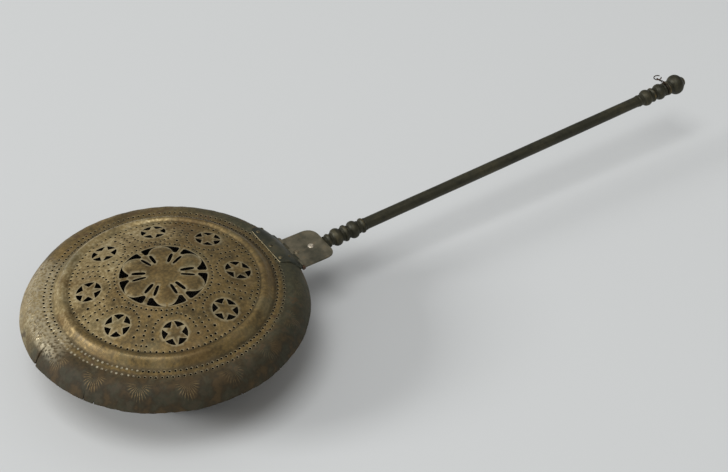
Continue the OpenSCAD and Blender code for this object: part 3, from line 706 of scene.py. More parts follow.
def rivet(head_d, head_h, shank_d, grip, hollow_d=0.0):
    """Profile from the top of the head down: a part of a ball, the shank, then the burr. z = 0 is the
    sheet's face."""
    ball = (head_d**2 / 4 + head_h**2) / (2 * head_h)
    r = np.linspace(hollow_d / 2, head_d / 2, 9)[1 if hollow_d == 0 else 0:]
    dome = np.stack([head_h - ball + np.sqrt(ball**2 - r**2), r], -1)
    start = [(head_h, 0)] if hollow_d == 0 else [
        (head_h * 0.45, 0), (head_h * 0.42, hollow_d * 0.3), (head_h * 0.5, hollow_d * 0.44)]
    burr = head_d * 0.42
    tail = [(0, shank_d / 2), (-grip, shank_d / 2), (-grip, burr), (-grip - 0.5, burr * 0.96),
            (-grip - 0.8, burr * 0.7), (-grip - 0.8, 0)]
    return turned(np.vstack([start, dome, tail])[::-1], 28)


def leaf_rivet(number, x, y):
    """A small rivet square to the leaf at a spot. Each is a little smaller than the one before."""
    slope_x = (leaf_height(x + 0.2, y) - leaf_height(x - 0.2, y)) / 0.4
    slope_y = (leaf_height(x, y + 0.2) - leaf_height(x, y - 0.2)) / 0.4
    shape = rivet(4.9 - 0.1 * number, 0.95, 3, LEAF_T + LID_T + 0.25)
    return stood(shape, (x, y, leaf_height(x, y) - 0.05), (-slope_x, -slope_y, 1))


def tongue_rivet(name, node, spot, head_d, head_h, hollow_d=0.0):
    """A rivet through the tongue, the palm of the handle and the bracket."""
    shape = rivet(head_d, head_h, 4, TONGUE_T + PALM_T + BRACKET_T, hollow_d)
    return make_piece(name, stood(shape, (*spot, TONGUE_TOP - 0.15), (0, 0, 1)), "pan", [node])


leaf_rivets = joined(*[leaf_rivet(number, *spot) for number, spot in enumerate(LEAF_RIVET_SPOTS)])
leaf_rivet_set = make_piece("leaf_rivet_set", leaf_rivets, "lid", ["leaf_rivets"])
low_rivet = tongue_rivet("low_rivet", "root_rivet", ROOT_RIVET, head_d=6.6, head_h=0.8)
hollow_rivet = tongue_rivet(
    "hollow_rivet", "main_rivet", MAIN_RIVET, head_d=7.4, head_h=1.45, hollow_d=3.6)

# %% [markdown]
# ## The turned handle
#
# Along its axis the handle is a core with beads: balls, rings and fillets. At a place s its radius is the
# largest of the core and all the half-circles that stand there. A light smoothing rounds the bottoms of the
# grooves as a turning tool does. How far a point stands above its surroundings is kept as a mark, because
# the high places are rubbed bright and get painted glints.

# %% Turn the handle's pieces
HANDLE_Z, HANDLE_RISE = 63.086, np.radians(1.9)
HANDLE_FOOT = np.array([TONGUE_END, 0.0, HANDLE_Z])
HANDLE_AXIS = np.array([np.cos(HANDLE_RISE), 0.0, np.sin(HANDLE_RISE)])


def beaded(length, core_d, beads, step=0.2):
    """Radius over the length: max(core, d / 2 - w / 2 + sqrt(w^2 / 4 - (s - s0)^2)) over beads (s0, d, w),
    softened."""
    s = np.arange(0, length + step / 2, step)
    radius = np.full(len(s), core_d / 2)
    for place, d, w in beads:
        bead = d / 2 - w / 2 + np.sqrt(np.maximum(w**2 / 4 - (s - place) ** 2, 0))
        radius = np.maximum(radius, np.where(np.abs(s - place) <= w / 2, bead, 0))
    soft = np.convolve(np.pad(radius, 3, mode="edge"), np.array([1, 3, 5, 6, 5, 3, 1]) / 24, "valid")
    return s, soft


def high_places(radius):
    """How far the radius stands above its own average over 5 mm, as 0 to 1."""
    average = np.convolve(np.pad(radius, 12, mode="edge"), np.ones(25) / 25, "valid")
    return np.clip((radius - average) / 0.9 + 0.2, 0, 1)


def on_handle(start, length, s, radius, segments, ripple):
    """A profile closed with a pole at each end, turned a little out of true and stood on the axis from
    start on."""
    profile = np.vstack([[(0, 0)], np.stack([s, radius], -1), [(length, 0)]])
    return stood(turned(profile, segments, ripple), HANDLE_FOOT + start * HANDLE_AXIS, HANDLE_AXIS)


def turned_piece(name, node, start, length, core_d, beads, segments=56):
    """One beaded piece of the handle."""
    s, radius = beaded(length, core_d, beads)

    def ripple(angle, z, r):
        return 0.07 * np.sin(2 * angle + start) + 0.04 * waves(6 * angle, z, 6, int(start) + 50)

    marks = {"high": np.append(np.repeat(high_places(radius), segments), [0, 0])}
    shape = on_handle(start, length, s, radius, segments, ripple)
    return make_piece(name, shape, "pan", [node], marks)


TURNED = (
    ("turned_collar", "handle_collar", 0.32, 9.1, 13.4, [(4.8, 16.2, 4.4)]),
    ("double_knop", "lower_knop", 9.42, 35.8, 14, [(6.6, 20.4, 12.6), (13.9, 15.6, 1.4), (17.6, 19.3, 5.4),
                                                  (21.6, 15.2, 1.2), (28.5, 20.3, 12), (35, 15.2, 1.4)]),
    ("foot_ferrule", "lower_ferrule", 45.22, 10, 14.2, [(4.7, 17.6, 4.4), (8.4, 14.8, 2)]),
    ("head_ferrule", "upper_ferrule", 447.72, 6, 13.8, [(2.4, 14.7, 2.4)]),
    ("ball_and_ring", "upper_knop", 453.72, 20.3, 13.8, [(7.7, 20, 13.4), (17.1, 17.8, 3.6)]),
    ("vase_bead", "vase_knop", 474.02, 16.8, 14.8, [(8, 19.6, 13.6), (15.2, 16.4, 2.2)]),
    ("grip", "grip_knob", 490.82, 26, 14.2, [(3.9, 18, 3), (6.6, 16.8, 2.4), (16.8, 24.6, 17.6)]),
    ("tail_button", "end_button", 516.82, 2.9, 8, [(1.45, 11.8, 2.9)]),
)
turned_pieces = [turned_piece(*row) for row in TURNED]

# %% [markdown]
# The shaft is a long tube with a barely visible taper. Its light comes from a surface that is never quite
# straight, so slow waves run along it.

# %% Draw the shaft
SHAFT_FROM, SHAFT_TO = 55.22, 447.72


def shaft_ripple(angle, z, r):
    """A tube that is a little three-sided and a little bent, each slowly changing along it."""
    return 0.05 * np.sin(3 * angle + z / 60) + 0.03 * np.sin(angle - z / 31)


s = np.linspace(0, SHAFT_TO - SHAFT_FROM, 150)
radius = 6.78 - 0.2 * s / s[-1] + 0.03 * np.sin(s / 9) + 0.03 * np.sin(s / 23 + 1)
shaft = on_handle(SHAFT_FROM, s[-1], s, radius, 48, shaft_ripple)
shaft_marks = {"high": np.full(len(shaft[0]), 0.25)}
long_shaft = make_piece("long_shaft", shaft, "pan", ["shaft_tube"], shaft_marks)

# %% [markdown]
# ## The wire hanger
#
# One wire goes round the groove behind the grip, and its two ends are twisted into a short shank with an
# eye. A second, bent wire hooks through the eye. A wire is a circle carried along a path, and the two
# strands of the shank are helices.

# %% Bend the wires
def wire(path, radius, across, sides=10, closed=False):
    """A tube round a path: at each point two unit vectors square to the path's direction span the circle.
    The direction is the central difference of the path, and across is any vector that is never along it."""
    path = np.asarray(path, float)
    along = np.roll(path, -1, 0) - np.roll(path, 1, 0) if closed else np.gradient(path, axis=0)
    along /= np.linalg.norm(along, axis=1)[:, None]
    u = np.cross(along, across)
    u /= np.linalg.norm(u, axis=1)[:, None]
    v = np.cross(along, u)
    a = np.arange(sides)[:, None] * 2 * np.pi / sides
    tube = path[:, None] + radius * (np.cos(a) * u[:, None] + np.sin(a) * v[:, None])
    points = tube.reshape(-1, 3)
    if not closed:
        points = np.vstack([points, path[:1] - 0.2 * along[:1], path[-1:] + 0.2 * along[-1:]])
    return points, ring_faces(len(path), sides, closed)


GROOVE_AT, WIRE_R, RING_R, SHANK_L, EYE_R = 492.02, 0.65, 7.8, 16.0, 2.1
UP, SIDE = np.array([-np.sin(HANDLE_RISE), 0, np.cos(HANDLE_RISE)]), np.array([0.0, 1.0, 0.0])


def leaning(degrees):
    """A direction that leans from UP towards the pan: cos(t) UP - sin(t) HANDLE_AXIS."""
    return np.cos(np.radians(degrees)) * UP - np.sin(np.radians(degrees)) * HANDLE_AXIS


def circle(centre, radius, first, second):
    """A circle round centre in the plane of two directions: centre + radius (cos t first + sin t
    second)."""
    turn = np.linspace(0, 2 * np.pi, 60, endpoint=False)[:, None]
    return centre + radius * (np.cos(turn) * first + np.sin(turn) * second)


def strand(foot, phase):
    """One strand of the shank: a helix round it whose radius swells in the middle."""
    rise = np.linspace(-0.5, SHANK_L + 0.4, 90)[:, None]
    swell = 0.45 + 0.75 * np.sin(np.pi * np.clip(rise / SHANK_L, 0, 1)) ** 2
    twist = 0.95 * rise + phase
    helix = foot + rise * SHANK + swell * (np.cos(twist) * SHANK_OUT + np.sin(twist) * SIDE)
    return wire(helix, 0.5, (0.3, 0.1, 0.2), sides=8)


SHANK, SHANK_OUT = leaning(46), leaning(-44)
groove = HANDLE_FOOT + GROOVE_AT * HANDLE_AXIS
ring_top = groove + RING_R * UP
hanger_shape = joined(
    wire(circle(groove, RING_R, UP, SIDE), WIRE_R, HANDLE_AXIS, closed=True),
    strand(ring_top, 0), strand(ring_top, np.pi),
    wire(circle(ring_top + (SHANK_L + EYE_R) * SHANK, EYE_R, SHANK, SIDE), WIRE_R, SHANK_OUT, closed=True))
hanger_wire = make_piece("hanger_wire", hanger_shape, "hanger", ["hanger_collar"], crease=80)

# %% [markdown]
# The hook is most of an ellipse, tilted and turned out of the handle's plane, so that it looks bent by
# hand.

# %% Bend the hook
HOOK_UP, HOOK_TURN, HOOK_TILT = leaning(5), np.radians(32), np.radians(-16)
HOOK_RISE, HOOK_LONG, HOOK_SHORT = 1.98, 4.5, 3.3
turned_out = np.cos(HOOK_TURN) * leaning(-85) - np.sin(HOOK_TURN) * SIDE
bend = np.radians(np.linspace(72, 388, 64))[:, None]
along, above = HOOK_LONG * np.cos(bend), HOOK_SHORT * np.sin(bend)
hook_line = ring_top + (SHANK_L + 2 * EYE_R) * SHANK + HOOK_RISE * HOOK_UP \
    + (np.cos(HOOK_TILT) * along - np.sin(HOOK_TILT) * above) * turned_out \
    + (np.sin(HOOK_TILT) * along + np.cos(HOOK_TILT) * above) * HOOK_UP
hook_shape = wire(hook_line, WIRE_R, np.cross(turned_out, HOOK_UP))
hanging_hook = make_piece("hanging_hook", hook_shape, "loop", ["hanging_loop"], crease=80)

# %% [markdown]
# ## Writing finishes as formulas
#
# A finish here is built from masks: where the metal is rubbed, rusty, green or sooty. Masks are sums and
# products, so a small class wraps the output of a node and makes +, -, * and / add Math nodes. A second
# class holds the material and has one method for any other node. Colours are written as they look on a
# screen and turned into linear light.

# %% Helper: formulas for surfaces
RADIAN, DEGREE = 57.29578, 0.0174533


class Spread:
    """A value or colour that varies over a surface. Arithmetic on it adds Math nodes."""

    def __init__(self, finish, socket):
        self.finish, self.socket = finish, socket

    def __add__(self, other):
        return self.finish.math("ADD", self, other)

    def __sub__(self, other):
        return self.finish.math("SUBTRACT", self, other)

    def __rsub__(self, other):
        return self.finish.math("SUBTRACT", other, self)

    def __mul__(self, other):
        return self.finish.math("MULTIPLY", self, other)

    def __truediv__(self, other):
        return self.finish.math("DIVIDE", self, other)

    def __rtruediv__(self, other):
        return self.finish.math("DIVIDE", other, self)

    def __abs__(self):
        return self.finish.math("ABSOLUTE", self)

    __radd__, __rmul__ = __add__, __mul__


def tone(r, g, b):
    """A screen colour of 0 to 255 as linear light: ((c + 0.055) / 1.055) ** 2.4."""
    c = np.array([r, g, b]) / 255
    return (*np.where(c <= 0.04045, c / 12.92, ((c + 0.055) / 1.055) ** 2.4).tolist(), 1.0)


class Finish:
    """A material that is being built."""

    def __init__(self, name):
        self.material = bpy.data.materials.new(name)
        self.material.use_nodes = True
        self.tree = self.material.node_tree
        self.tree.nodes.clear()
        self.place = self.node("ShaderNodeTexCoord", output="Object")

    def node(self, kind, settings=None, sockets=None, output=0):
        """Adds a node: first its settings, among them a ramp's stops, then its sockets' values or links."""
        made = self.tree.nodes.new(kind)
        for name, value in (settings or {}).items():
            if name == "stops":
                ramp = made.color_ramp
                while len(ramp.elements) < len(value):
                    ramp.elements.new(1.0)
                for element, (position, colour) in zip(ramp.elements, value):
                    element.position, element.color = position, colour
            else:
                setattr(made, name, value)
        for name, value in (sockets or {}).items():
            if isinstance(value, Spread):
                self.tree.links.new(value.socket, made.inputs[name])
            else:
                made.inputs[name].default_value = value
        return Spread(self, made.outputs[output])

    def math(self, operation, *values):
        return self.node("ShaderNodeMath", {"operation": operation}, dict(enumerate(values)))

    def ease(self, value, low, high):
        """0 below low and 1 above high, or the other way round, with a smooth step between."""
        sockets = {"Value": value, "From Min": min(low, high), "From Max": max(low, high),
                   "To Min": float(low > high), "To Max": float(low < high)}
        return self.node("ShaderNodeMapRange", {"interpolation_type": "SMOOTHSTEP"}, sockets)

    def mix(self, share, first, second):
        """The second colour over the first by a share."""
        return self.node("ShaderNodeMix", {"data_type": "RGBA"}, {0: share, 6: first, 7: second}, 2)

    def ramp(self, value, *stops):
        """A colour that follows a value through stops of a position and a colour."""
        return self.node("ShaderNodeValToRGB", {"stops": stops}, {0: value})

    def cloud(self, size, detail=3.0, stretch=(1, 1, 1)):
        """Noise between 0 and 1 whose lumps are about size millimetres, and longer along an axis that is
        stretched."""
        squeeze = tuple(1 / share for share in stretch)
        scaled = self.node("ShaderNodeMapping", {}, {"Vector": self.place, "Scale": squeeze})
        sockets = {"Vector": scaled, "Scale": 1 / (size * MM), "Detail": detail, "Roughness": 0.55}
        return self.node("ShaderNodeTexNoise", {}, sockets)

    def cells(self, size):
        """Hammer marks: distance to the nearest of scattered centres about size millimetres apart, smooth
        between."""
        sockets = {"Vector": self.place, "Scale": 1 / (size * MM), "Smoothness": 0.6}
        return self.node("ShaderNodeTexVoronoi", {"feature": "SMOOTH_F1"}, sockets, "Distance")

    def mark(self, name):
        """A mark written on the piece's points or faces."""
        return self.node("ShaderNodeAttribute", {"attribute_name": name}, output="Fac")

    def round_the_middle(self):
        """Radius in millimetres and azimuth in degrees in the plan of the pan."""
        x, y = (self.node("ShaderNodeSeparateXYZ", {}, {0: self.place}, k) for k in (0, 1))
        return self.math("SQRT", x * x + y * y) * (1 / MM), self.math("ARCTAN2", y, x) * RADIAN

    def surface(self, colour, rough, metal, height=None, deep=0.3, gloss=0.5):
        """Ends the material: one shader, bumped by a height of up to deep millimetres."""
        sockets = {"Base Color": colour, "Roughness": rough, "Metallic": metal, "Specular IOR Level": gloss}
        if height is not None:
            bump = {"Strength": 1.0, "Distance": deep * MM, "Height": height}
            sockets["Normal"] = self.node("ShaderNodeBump", {}, bump)
        shader = self.node("ShaderNodeBsdfPrincipled", {}, sockets)
        end = self.tree.nodes.new("ShaderNodeOutputMaterial")
        self.tree.links.new(shader.socket, end.inputs["Surface"])
        print("finish", self.material.name, "of", len(self.tree.nodes), "nodes")
        return self.material


def dress(finish, *pieces):
    """Gives some pieces one finish."""
    for piece in pieces:
        piece.data.materials.append(finish)


# %% [markdown]
# ## Finish: the old pierced brass
#
# Brass that was polished for generations and then left turns brown, and keeps its gold only where it is
# rubbed. The lid mixes skins by masks: brown brass; gold, partly where it is rubbed and partly as painted
# highlight on the far side and the left brim, which face the low lamp; a dark skin that is umber at the near
# side and green-grey towards the hinge, partly patina and partly painted shade; and spots of rust. On the
# brim small fans are chased every 20 degrees: in polar coordinates round a fan's foot each ray is a peak of
# a cosine of the direction. The brim at the left is beaten all over with small marks and carries a painted
# gleam. The rims of the holes get a painted highlight and their walls painted near-black shade, and the
# closed pits of the left brim get white painted highlights.

# %% Chased fans
FAN_STEP, FAN_TURN, FAN_FOOT_R, RAY_STEP, FANS_DEEPEST = 20.0, 168.8, 137.2, 13.5, -170.0


def offset(f, value, step):
    """How far a value is from the nearest whole number of steps, with its sign."""
    share = value / step
    return (share - f.math("ROUND", share)) * step


def fans(f, r, azimuth):
    """Rays in fans: u runs outwards from a fan's foot and v along the brim. Rays fade at both ends and
    behind the foot, and the fans are deepest at the near left."""
    u, v = r - FAN_FOOT_R, r * offset(f, azimuth + FAN_TURN, FAN_STEP) * DEGREE
    length = f.math("SQRT", u * u + v * v)
    direction = abs(f.math("ARCTAN2", v, u + 0.6) * RADIAN)
    wobble = f.cloud(9, 1.0) * 12.0
    ray = f.math("COSINE", (direction + wobble) * (2 * np.pi / RAY_STEP))
    ray = f.ease(ray, 0.1, 0.9) * f.ease(length, 2.2, 4.2) * f.ease(length, 14.0, 9.0)
    ray = ray * f.ease(direction, 105, 80)
    side = f.ease(abs(offset(f, azimuth - FANS_DEEPEST, 360.0)), 95, 45)
    return ray * (0.25 + 0.75 * side) * (0.35 + 0.65 * f.ease(f.cloud(3.5, 2.0), 0.36, 0.58))


# %% The lid's finish
CREST_R, RIDGE_FOOT_OUT_R, RIDGE_FOOT_IN_R, NEAR_TURN = 109.0, 118.0, 101.6, 115


def pierced_brass():
    """Layers in the order in which they are mixed: brown brass, gold where rubbed and as painted highlight,
    dark skin that is partly painted shade, stains, rust, darker rings at the ridge's feet, painted shade on
    the near brim, chasing, painted highlights on the hole rims, white painted highlights in closed pits,
    soot, a painted gleam on the left brim and painted near-black shade on the walls."""
    f = Finish("pierced_brass")
    r, azimuth = f.round_the_middle()
    rubbed, skin, soot, cut, chalk = (f.mark(m) for m in ("rubbed", "skin", "soot", "cut_edge", "chalk"))
    ray = fans(f, r, azimuth) * (1 - soot)
    beaten = f.cells(3.0)
    broad, patch, fine, grain = f.cloud(46, 3.0), f.cloud(15, 5.0), f.cloud(3.2, 4.0), f.cloud(0.9, 2.0)
    on_brim = f.ease(r, 116, 122)
    # Painted highlight: the part of the brim at the left that faces the low lamp.
    lit_left_brim = on_brim * f.ease(rubbed, 0.3, 0.75) * f.ease(r, 149, 142)
    brown = f.ramp(broad * 0.35 + patch * 0.35 + fine * 0.3,
                   (0.36, tone(62, 52, 31)), (0.46, tone(96, 81, 50)),
                   (0.54, tone(124, 103, 62)), (0.64, tone(158, 130, 80)))
    gold = f.ramp(patch * 0.5 + fine * 0.5,
                  (0.3, tone(126, 107, 68)), (0.5, tone(170, 150, 106)), (0.7, tone(222, 207, 164)))
    # Gold partly where the brass is rubbed and partly as painted highlight where the lid faces the low lamp.
    rubbed_and_lit_share = f.ease(rubbed + (broad - 0.5) * 1.2 + (fine - 0.5) * 0.5, 0.45, 1.1)
    colour = f.mix(rubbed_and_lit_share, brown, gold)
    green = f.mix(fine, tone(34, 37, 27), tone(68, 70, 53))
    umber = f.mix(fine, tone(36, 30, 18), tone(74, 62, 40))
    coat = f.mix(f.ease(azimuth, -100, -30), umber, green)
    # The dark skin, partly patina and partly painted shade.
    colour = f.mix(f.ease(skin + (broad - 0.5) * 0.7 + (patch - 0.5) * 0.5, 0.2, 0.8) * 0.85, colour, coat)
    grey = f.ease(patch + (1 - rubbed) * 0.1, 0.58, 0.72) * 0.22
    colour = f.mix(grey, colour, tone(86, 88, 74))
    disc = 1 - on_brim
    colour = f.mix(f.ease(broad, 0.47, 0.32) * disc * 0.3, colour, tone(134, 104, 58))
    colour = f.mix(f.ease(broad, 0.52, 0.68) * disc * 0.5, colour, tone(86, 86, 66))
    rust = f.ease(patch * 0.7 + f.cloud(7, 3.0) * 0.5, 0.64, 0.74) * (0.25 + 0.6 * on_brim)
    colour = f.mix(rust, colour, f.mix(grain, tone(66, 50, 30), tone(92, 72, 44)))
    # Darker in two narrow rings at the feet of the ridge, less where the brass is marked bright.
    ridge_feet_dark = f.ease(abs(r - RIDGE_FOOT_OUT_R), 3.4, 0.6) + f.ease(abs(r - RIDGE_FOOT_IN_R), 2.0, 0.4)
    colour = f.mix(ridge_feet_dark * (0.75 - 0.5 * rubbed), colour, tone(38, 33, 20))
    # Painted shade: the near side of the brim, darker towards its edge.
    near = f.ease(f.math("COSINE", (azimuth + NEAR_TURN) * DEGREE), -0.2, 0.6)
    dark_brown = f.mix(fine, tone(22, 19, 11), tone(52, 42, 24))
    dark_green = f.mix(fine, tone(20, 22, 15), tone(50, 52, 38))
    painted_shade_tone = f.mix(f.ease(patch, 0.45, 0.6), dark_brown, dark_green)
    colour = f.mix(near * f.ease(r, 124, 148) * (0.45 + 0.45 * fine), colour, painted_shade_tone)
    colour = f.mix(near * on_brim * f.ease(patch, 0.5, 0.36) * 0.4, colour, tone(88, 69, 40))
    colour = f.mix(ray * (0.3 + 0.6 * patch), colour, tone(150, 128, 88))
    # Painted highlight: a light rim round every hole.
    colour = f.mix(cut * 0.5, colour, tone(186, 174, 140))
    # Painted highlight: white in the closed pits of the left brim.
    glint_share = (f.ease(azimuth, -181, -160) * 0.5 + 0.25) * f.ease(f.cloud(5, 1.0), 0.3, 0.6)
    colour = f.mix(f.ease(chalk, 0.8, 1.0) * glint_share * 0.8, colour, tone(196, 188, 162))
    colour = f.mix(soot, colour, f.mix(patch, tone(30, 27, 22), tone(72, 60, 42)))
    # Painted highlight: a pale gleam on the beaten left brim, which faces the low lamp.
    painted_gleam = lit_left_brim * f.ease(fine * 0.5 + beaten * 0.5, 0.3, 0.62)
    colour = f.mix(painted_gleam * 0.5, colour, tone(204, 193, 164))
    # Painted shade: the walls nearly black and not metal.
    wall = f.mark("cut_wall")
    colour = f.mix(wall, colour, tone(6, 6, 5))
    thick_skin, crest = f.ease(skin, 0.2, 0.8), f.ease(abs(r - CREST_R), 7, 2)
    metal = (0.45 + 0.2 * rubbed_and_lit_share - 0.25 * thick_skin - 0.3 * soot - 0.25 * rust) * (1 - wall)
    rough = 0.5 + 0.12 * patch - 0.12 * rubbed_and_lit_share + 0.14 * thick_skin + 0.25 * soot - 0.13 * crest - 0.14 * painted_gleam
    height = (1 - beaten) * (0.03 + 0.97 * lit_left_brim) * 1.4 + fine * 0.25 + grain * 0.12 + ray * 0.9
    return f.surface(colour, rough, metal, height, deep=0.45, gloss=0.35)


dress(pierced_brass(), pierced_lid)

# %% [markdown]
# ## Finish: bowl, plates and rivets
#
# The bowl is the same brass without the polish: brown and gold on the wall, darker towards the base, and
# black with soot inside. The leaf and the tongue have a grey-brown skin with a soft sheen and a bright line
# along their edges, partly wear from hands and partly painted highlight. The rivets are brighter than what
# they hold.

# %% Brass for the bowl, grey skin for the plates, bright heads for the rivets
def bowl_brass():
    f = Finish("bowl_brass")
    soot, within = f.mark("soot"), f.mark("inside")
    broad, patch, fine = f.cloud(50, 3.0), f.cloud(13, 5.0), f.cloud(2.5, 4.0)
    drawn = f.cloud(9, 4.0, (5, 5, 0.6))
    brass = f.ramp(patch * 0.5 + drawn * 0.5,
                   (0.3, tone(66, 55, 36)), (0.5, tone(104, 88, 58)), (0.72, tone(146, 125, 84)))
    black = f.mix(fine, tone(24, 22, 19), tone(58, 50, 40))
    # Black inside, and darker outside towards the base.
    blackened = f.ease(soot * 1.15 + (broad - 0.5) * 0.8 + (patch - 0.5) * 0.5, 0.3, 0.95)
    colour = f.mix(blackened, brass, black)
    ash = f.ease(patch * 0.6 + fine * 0.4, 0.48, 0.7) * within * 0.4
    colour = f.mix(ash, colour, tone(96, 90, 82))
    height = (1 - f.cells(9)) * 0.6 + fine * 0.25 + drawn * 0.2
    return f.surface(colour, 0.42 + 0.15 * patch + 0.28 * blackened, 0.8 - 0.6 * blackened, height, deep=0.4)


def plate_skin(name, dark, middle, light, stain):
    f = Finish(name)
    edge_wear_and_highlight = f.mark("worn_edge")
    broad, patch, fine, grain = f.cloud(24, 3.0), f.cloud(8, 5.0), f.cloud(2.2, 3.0), f.cloud(0.7, 2.0)
    skin = f.ramp(broad * 0.5 + patch * 0.5, (0.3, dark), (0.5, middle), (0.7, light))
    colour = f.mix(f.ease(patch, 0.58, 0.7) * 0.5, skin, stain)
    colour = f.mix(f.ease(broad, 0.5, 0.36) * 0.4, colour, tone(52, 56, 48))
    # Partly wear and partly painted highlight: a bright line along the marked edges.
    colour = f.mix(f.ease(edge_wear_and_highlight + (fine - 0.5) * 0.7, 0.55, 1.0), colour, tone(206, 190, 150))
    height = patch * 0.6 + fine * 0.3 + grain * 0.15
    return f.surface(colour, 0.44 + 0.2 * patch - 0.1 * edge_wear_and_highlight, 0.55 + 0.3 * edge_wear_and_highlight, height, deep=0.3)


def rivet_metal(name, dull, bright):
    f = Finish(name)
    patch, fine = f.cloud(3, 3.0), f.cloud(0.8, 2.0)
    colour = f.mix(f.ease(patch, 0.35, 0.65), dull, bright)
    return f.surface(colour, 0.36 + 0.2 * fine, 0.75, patch * 0.7 + fine * 0.3, deep=0.15)


dress(bowl_brass(), ember_bowl)
leaf_tones = tone(42, 43, 33), tone(62, 62, 48), tone(88, 84, 64), tone(84, 70, 46)
dress(plate_skin("leaf_skin", *leaf_tones), hinge_leaf)
tongue_tones = tone(78, 74, 58), tone(108, 102, 84), tone(138, 128, 106), tone(120, 102, 74)
dress(plate_skin("tongue_skin", *tongue_tones), tongue)
dress(rivet_metal("dull_rivet", tone(58, 54, 40), tone(120, 108, 80)), leaf_rivet_set)
dress(rivet_metal("low_rivet_skin", tone(92, 84, 66), tone(140, 128, 104)), low_rivet)
dress(rivet_metal("bright_rivet", tone(128, 116, 98), tone(214, 204, 186)), hollow_rivet)

# %% [markdown]
# ## Finish: handle, shaft, wire and iron
#
# The handle has gone almost black with a green cast. Rings and the crowns of beads show gold, partly where
# the hand has rubbed them and partly as painted glints, so the mark of the high places steers the mix. Fine
# lines run round the knobs from turning, and along the shaft from drawing the tube. Everything of iron gets
# a scaled, slightly rusty skin.
# The bracket, its rivets, the tang and the hinge pin keep their CAD shapes.

# %% Dark turned brass, shaft, wire and iron
def turned_brass(name, rub_and_glint, lines):
    f = Finish(name)
    high = f.mark("high")
    broad, patch, fine, grain = f.cloud(30, 3.0), f.cloud(7, 5.0), f.cloud(1.6, 3.0), f.cloud(0.5, 2.0)
    drawn = f.cloud(2.2, 3.0, lines)
    dark = f.ramp(patch * 0.5 + broad * 0.3 + drawn * 0.2,
                  (0.32, tone(32, 32, 23)), (0.5, tone(56, 54, 39)), (0.68, tone(88, 80, 55)))
    # Partly rubbed brass and partly painted glints on the high places.
    glint = f.ease(high * rub_and_glint + (patch - 0.5) * 1.3 + (fine - 0.5) * 0.9, 0.7, 1.15)
    colour = f.mix(glint * 0.6, dark, f.mix(fine, tone(112, 90, 52), tone(158, 134, 88)))
    grime = f.ease(patch + (0.5 - high) * 0.3, 0.56, 0.72) * 0.6
    colour = f.mix(grime, colour, f.mix(fine, tone(24, 25, 18), tone(46, 48, 36)))
    height = patch * 0.5 + drawn * 0.35 + fine * 0.2 + grain * 0.1
    return f.surface(colour, 0.4 + 0.22 * patch - 0.08 * glint, 0.5 + 0.3 * glint, height, deep=0.22)


def old_iron(name, light, dark, rust_share):
    f = Finish(name)
    patch, fine, grain = f.cloud(6, 5.0), f.cloud(1.8, 4.0), f.cloud(0.5, 2.0)
    colour = f.mix(patch * 0.6 + fine * 0.4, dark, light)
    rust = f.ease(f.cloud(11, 4.0), 0.5, 0.66) * rust_share
    colour = f.mix(rust, colour, f.mix(fine, tone(74, 44, 26), tone(116, 72, 42)))
    height = patch * 0.5 + fine * 0.4 + grain * 0.2
    return f.surface(colour, 0.5 + 0.25 * patch, 0.55 - 0.4 * rust, height, deep=0.25)


dress(turned_brass("turned_dark_brass", 0.85, (0.5, 3, 3)), *turned_pieces)
dress(turned_brass("drawn_dark_brass", 0.7, (14, 0.8, 0.8)), long_shaft)
dress(old_iron("hanger_iron", tone(74, 62, 46), tone(24, 22, 19), 0.35), hanger_wire, hanging_hook)
iron_parts = [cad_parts[node] for node in ("bowl_bracket", "bracket_rivets", "handle_tang", "hinge_pin")]
for part in iron_parts:
    part.data.materials.clear()
dress(old_iron("forged_iron", tone(72, 66, 56), tone(30, 28, 25), 0.6), *iron_parts)
print("iron on", [n for n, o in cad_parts.items() if not o.hide_render])

# %% [markdown]
# ## Floor and light
#
# The floor is one plain pale sheet of a single colour, wide enough for every view, so that the pan is
# judged by itself and its shadow shows where it stands. Two big lamps give a soft light: one stands low at
# the back left, so that the ridge and the beads get an edge of light, and one hangs overhead. A grey world
# fills the shadows. Together they light a level surface to about the colour that it is written in.

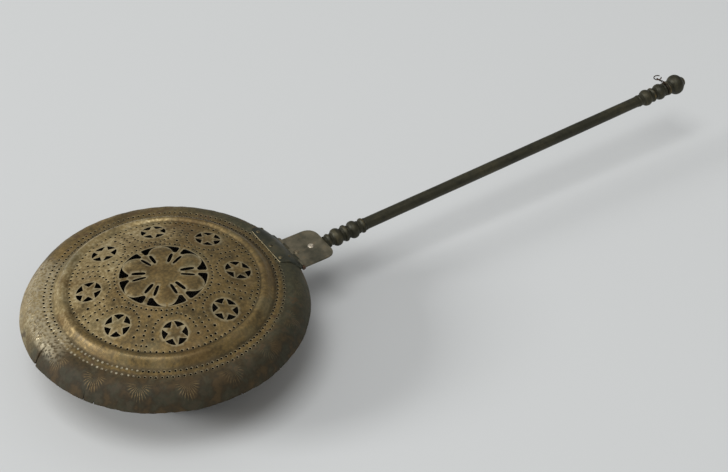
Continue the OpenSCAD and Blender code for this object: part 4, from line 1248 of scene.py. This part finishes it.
# %% Lay the floor
FLOOR_HALF = 14.0
floor_mesh = bpy.data.meshes.new("studio_floor")
corners = [(x * FLOOR_HALF, y * FLOOR_HALF, 0) for x, y in ((-1, -1), (1, -1), (1, 1), (-1, 1))]
floor_mesh.from_pydata(corners, [], [(0, 1, 2, 3)])
floor = bpy.data.objects.new("studio_floor", floor_mesh)
bpy.context.collection.objects.link(floor)
dress(Finish("pale_floor").surface(tone(208, 210, 210), rough=0.9, metal=0.0, gloss=0.1), floor)

# %% Hang the lamps
LAMPS_AIM, LAMPS_AWAY, WORLD_GREY = np.array([0.12, 0.0, 0.06]), 12.0, 0.33


def soft_lamp(name, azimuth, elevation, width, height, irradiance):
    """A rectangular lamp aimed at the pan. Its power is irradiance * pi * distance^2, as an even emitter
    gives."""
    az, el = np.radians([azimuth, elevation])
    out = np.array([np.cos(el) * np.cos(az), np.cos(el) * np.sin(az), np.sin(el)])
    lamp = bpy.data.objects.new(name, bpy.data.lights.new(name, "AREA"))
    lamp.data.shape, lamp.data.size, lamp.data.size_y = "RECTANGLE", width, height
    lamp.data.energy = irradiance * np.pi * LAMPS_AWAY**2
    across = np.cross((0, 0, 1), out)
    across /= np.linalg.norm(across)
    place = np.eye(4)
    place[:3, :3] = np.stack([across, np.cross(out, across), out], axis=1)
    place[:3, 3] = LAMPS_AIM + LAMPS_AWAY * out
    lamp.matrix_world = Matrix(place.tolist())
    bpy.context.collection.objects.link(lamp)


soft_lamp("low_left_lamp", azimuth=158, elevation=24, width=3.8, height=3.2, irradiance=2.0)
soft_lamp("overhead_lamp", azimuth=-160, elevation=72, width=7.2, height=6.0, irradiance=1.45)
world = bpy.data.worlds.new("studio_air")
world.use_nodes = True
world.node_tree.nodes["Background"].inputs["Color"].default_value = (WORLD_GREY, WORLD_GREY, WORLD_GREY, 1)
bpy.context.scene.world = world
bpy.context.scene.view_settings.view_transform = "Standard"

# %% [markdown]
# ## The CAD model's box
#
# The dressed pan has to stay inside the CAD model's box.

# %% Update the view layer
bpy.context.view_layer.update()
